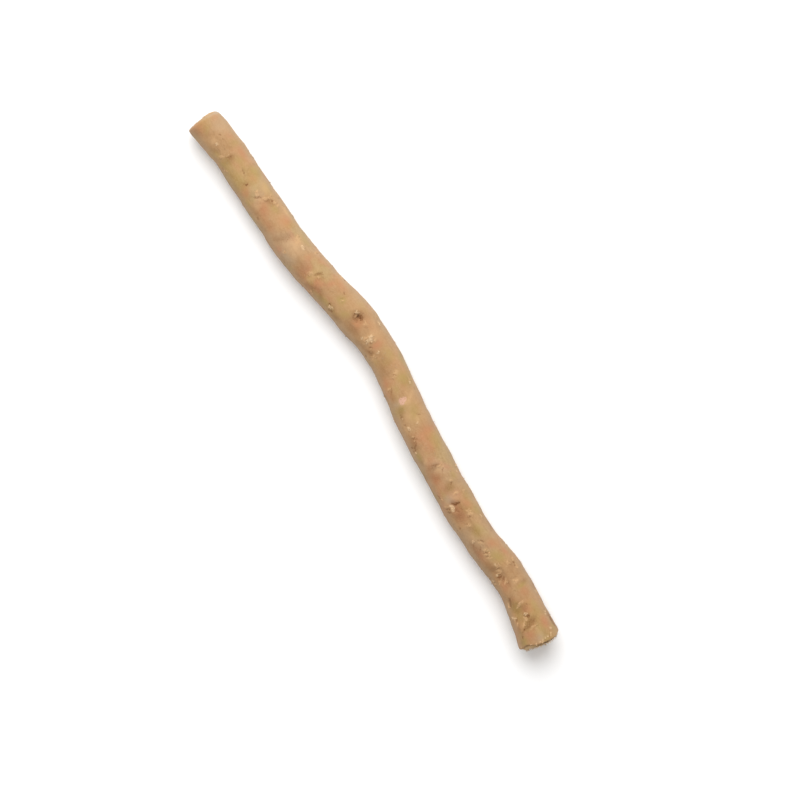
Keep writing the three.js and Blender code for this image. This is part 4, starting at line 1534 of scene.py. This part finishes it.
def fibre_root(stick, tip, way, turn, share):
    """The place on an end face at a turn and at a share of the way out to its rim, or None."""
    rim, _ = seat(stick, (tip - way * RIM_BEHIND * MM).x / MM, turn)
    spoke = rim - Vector(middle_at(rim.x))
    spoke -= way * spoke.dot(way)
    hit, place, _, _ = stick.ray_cast(tip + spoke * share + way * FAR_OUT, -way)
    return place if hit else None


def add_fibre(blank, stick, fringe, chance):
    """One fibre of a fringe, where its place is on the end."""
    tip, way = fringe.tip
    turn = math.radians(chance.uniform(-180, 180))
    if fringe.crowd and chance.random() < CROWDED:
        turn = math.radians(chance.gauss(fringe.crowd, CROWD_SPREAD))
    root = fibre_root(stick, tip, way, turn, chance.uniform(fringe.inner, fringe.outer))
    lean = Vector([chance.gauss(0, fringe.splay) for _ in range(3)])
    length = chance.uniform(fringe.shortest, fringe.longest) * MM
    breadth = chance.uniform(*FIBRE_BREADTHS) * FIBRE_BREADTH * MM
    if root is None:
        return
    run = (way + lean).normalized()
    up = run.orthogonal().normalized()
    fibre = Sliver(length, breadth, lean.x * length, FIBRE_THICKNESS)
    add_sliver(blank, root + run * FIBRE_OUT * length, run, up, fibre)


def fibre_mesh(stick):
    """Frayed fibres round the wood of both ends, and torn bits of bark on the rim of the cut."""
    blank = bmesh.new()
    chance = random.Random(FIBRE_SEED)
    for fringe in FRINGES:
        for _ in range(fringe.count):
            add_fibre(blank, stick, fringe, chance)
    return finished(blank, "miswak_fibres")


def fuzz_mesh(stick, count):
    """Short loose hairs of bark fibre, all over the stick but for its foot."""
    blank = bmesh.new()
    chance = random.Random(FUZZ_SEED)
    for _ in range(count):
        turn = math.radians(chance.uniform(-FUZZ_ROUND, FUZZ_ROUND))
        place, up = seat(stick, chance.uniform(-FUZZ_ALONG, FUZZ_ALONG), turn)
        way, _ = turned(*ways_on_bark(up), chance.gauss(0, FUZZ_STRAY))
        length = chance.uniform(*FUZZ_LENGTHS) * MM
        lift = chance.random() * FUZZ_LIFT * length
        add_sliver(blank, place, way, up, Sliver(length, FUZZ_BREADTH * MM, lift, FUZZ_THICKNESS))
    return finished(blank, "miswak_fuzz")


# The stage


FLOOR_HALF = 4.0

# The light: its distance and its breadth, and how many degrees round from +X and up it stands
KEY_AWAY = 0.7
KEY_SIZE = 0.84
KEY_TURN = 150
KEY_RISE = 52

# The view: the degrees that it is turned, what it looks at, and the camera's sensor in millimetres
VIEW_TURN = 57.1
VIEW_MIDDLE = Vector((7.32, 0.9, 4.2)) * MM
SENSOR = 36


def add_floor(settings):
    """A wide flat table top under the stick."""
    blank = bmesh.new()
    bmesh.ops.create_grid(blank, x_segments=2, y_segments=2, size=FLOOR_HALF)
    mesh = as_mesh(blank, "table_top")
    mesh.materials.append(blended_material("table", WHITE_TABLE, settings.floor, DUST))
    floor = add_object("table_top", mesh)


def add_lights(settings):
    """One large soft light over the worn end, on the +Y side, and even white light from all round."""
    lamp = bpy.data.lights.new("key", "AREA")
    lamp.shape = "DISK"
    lamp.size = KEY_SIZE
    lamp.energy = settings.key_power
    key = add_object("key", lamp)
    side, rise = math.radians(KEY_TURN), math.radians(KEY_RISE)
    way = Vector((math.cos(side) * math.cos(rise), math.sin(side) * math.cos(rise), math.sin(rise)))
    key.location = VIEW_MIDDLE + way * KEY_AWAY
    key.rotation_mode = "QUATERNION"
    key.rotation_quaternion = way.to_track_quat("Z", "Y")
    world = bpy.data.worlds.new("room")
    world.use_nodes = True
    sky = world.node_tree.nodes["Background"]
    sky.inputs["Color"].default_value = (1, 1, 1, 1)
    sky.inputs["Strength"].default_value = settings.sky
    bpy.context.scene.world = world
    bpy.context.scene.view_settings.view_transform = "Standard"


def add_camera(settings):
    """A camera straight above, turned so that the stick runs from upper left to lower right."""
    lens = bpy.data.cameras.new("camera")
    lens.lens = settings.lens
    lens.sensor_width = SENSOR
    camera = add_object("camera", lens)
    above = settings.view_width * settings.lens / SENSOR
    camera.location = VIEW_MIDDLE + Vector((0, 0, above))
    camera.rotation_euler = (0, 0, math.radians(VIEW_TURN))
    bpy.context.scene.camera = camera


# The add-on


class MISWAK_OT_stage(bpy.types.Operator):
    """Make the table top, the lights and the camera"""

    bl_idname = "miswak.stage"
    bl_label = "Stage"

    def execute(self, context):
        settings = context.scene.miswak_stage
        add_floor(settings)
        add_lights(settings)
        add_camera(settings)
        return {"FINISHED"}


class MISWAK_OT_stick(bpy.types.Operator):
    """Make the stick's bark and its two ends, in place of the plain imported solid"""

    bl_idname = "miswak.stick"
    bl_label = "Stick"

    def execute(self, context):
        settings = context.scene.miswak_stick
        piece = add_piece(STICK_NAME, dressed_stick(settings), bark_material(settings))
        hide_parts(NODE)
        context.view_layer.update()
        return {"FINISHED"}


class MISWAK_OT_flakes(bpy.types.Operator):
    """Make the pale flakes of torn bark and the browner slivers that stand up from the stick"""

    bl_idname = "miswak.flakes"
    bl_label = "Flakes"

    def execute(self, context):
        settings = context.scene.miswak_stick
        stick = context.scene.objects[STICK_NAME]
        marks = all_marks(settings)
        pale = blended_material("pale_flakes", TORN_BARK, settings.pale, settings.light)
        tan = blended_material("tan_slivers", TORN_BARK, settings.light, settings.tan)
        add_piece("miswak_flakes", flake_mesh(stick, "fleck", marks), pale)
        add_piece("miswak_slivers", flake_mesh(stick, "stroke", marks), tan)
        return {"FINISHED"}


class MISWAK_OT_fibres(bpy.types.Operator):
    """Make the frayed fibres of the two ends and the short fuzz on the bark"""

    bl_idname = "miswak.fibres"
    bl_label = "Fibres"

    def execute(self, context):
        settings = context.scene.miswak_stick
        stick = context.scene.objects[STICK_NAME]
        fibre = blended_material("wood_fibre", LOOSE_FIBRE, settings.pale, settings.wood)
        fuzz = blended_material("bark_fuzz", LOOSE_FIBRE, settings.tan, settings.grey)
        add_piece("miswak_fibres", fibre_mesh(stick), fibre)
        add_piece("miswak_fuzz", fuzz_mesh(stick, settings.fuzz), fuzz)
        return {"FINISHED"}


class MISWAK_PT_panel(bpy.types.Panel):
    """The settings and the operators, in the 3D view's sidebar"""

    bl_label = "Miswak stick"
    bl_space_type = "VIEW_3D"
    bl_region_type = "UI"
    bl_category = "Miswak"

    def draw(self, context):
        for settings in (context.scene.miswak_stick, context.scene.miswak_stage):
            box = self.layout.box()
            for name in settings.__annotations__:
                box.prop(settings, name)
        for operator in OPERATORS:
            self.layout.operator(operator.bl_idname)


SETTINGS = {"miswak_stick": StickSettings, "miswak_stage": StageSettings}
OPERATORS = [MISWAK_OT_stage, MISWAK_OT_stick, MISWAK_OT_flakes, MISWAK_OT_fibres]
CLASSES = [*SETTINGS.values(), *OPERATORS, MISWAK_PT_panel]


def register():
    for each in CLASSES:
        bpy.utils.register_class(each)
    for name, group in SETTINGS.items():
        setattr(bpy.types.Scene, name, PointerProperty(type=group))


def unregister():
    for name in SETTINGS:
        delattr(bpy.types.Scene, name)
    for each in reversed(CLASSES):
        bpy.utils.unregister_class(each)


def main():
    """Makes the whole scene."""
    register()
    bpy.ops.miswak.stage()
    bpy.ops.miswak.stick()
    bpy.ops.miswak.flakes()
    bpy.ops.miswak.fibres()
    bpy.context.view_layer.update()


if __name__ == "__main__":
    main()
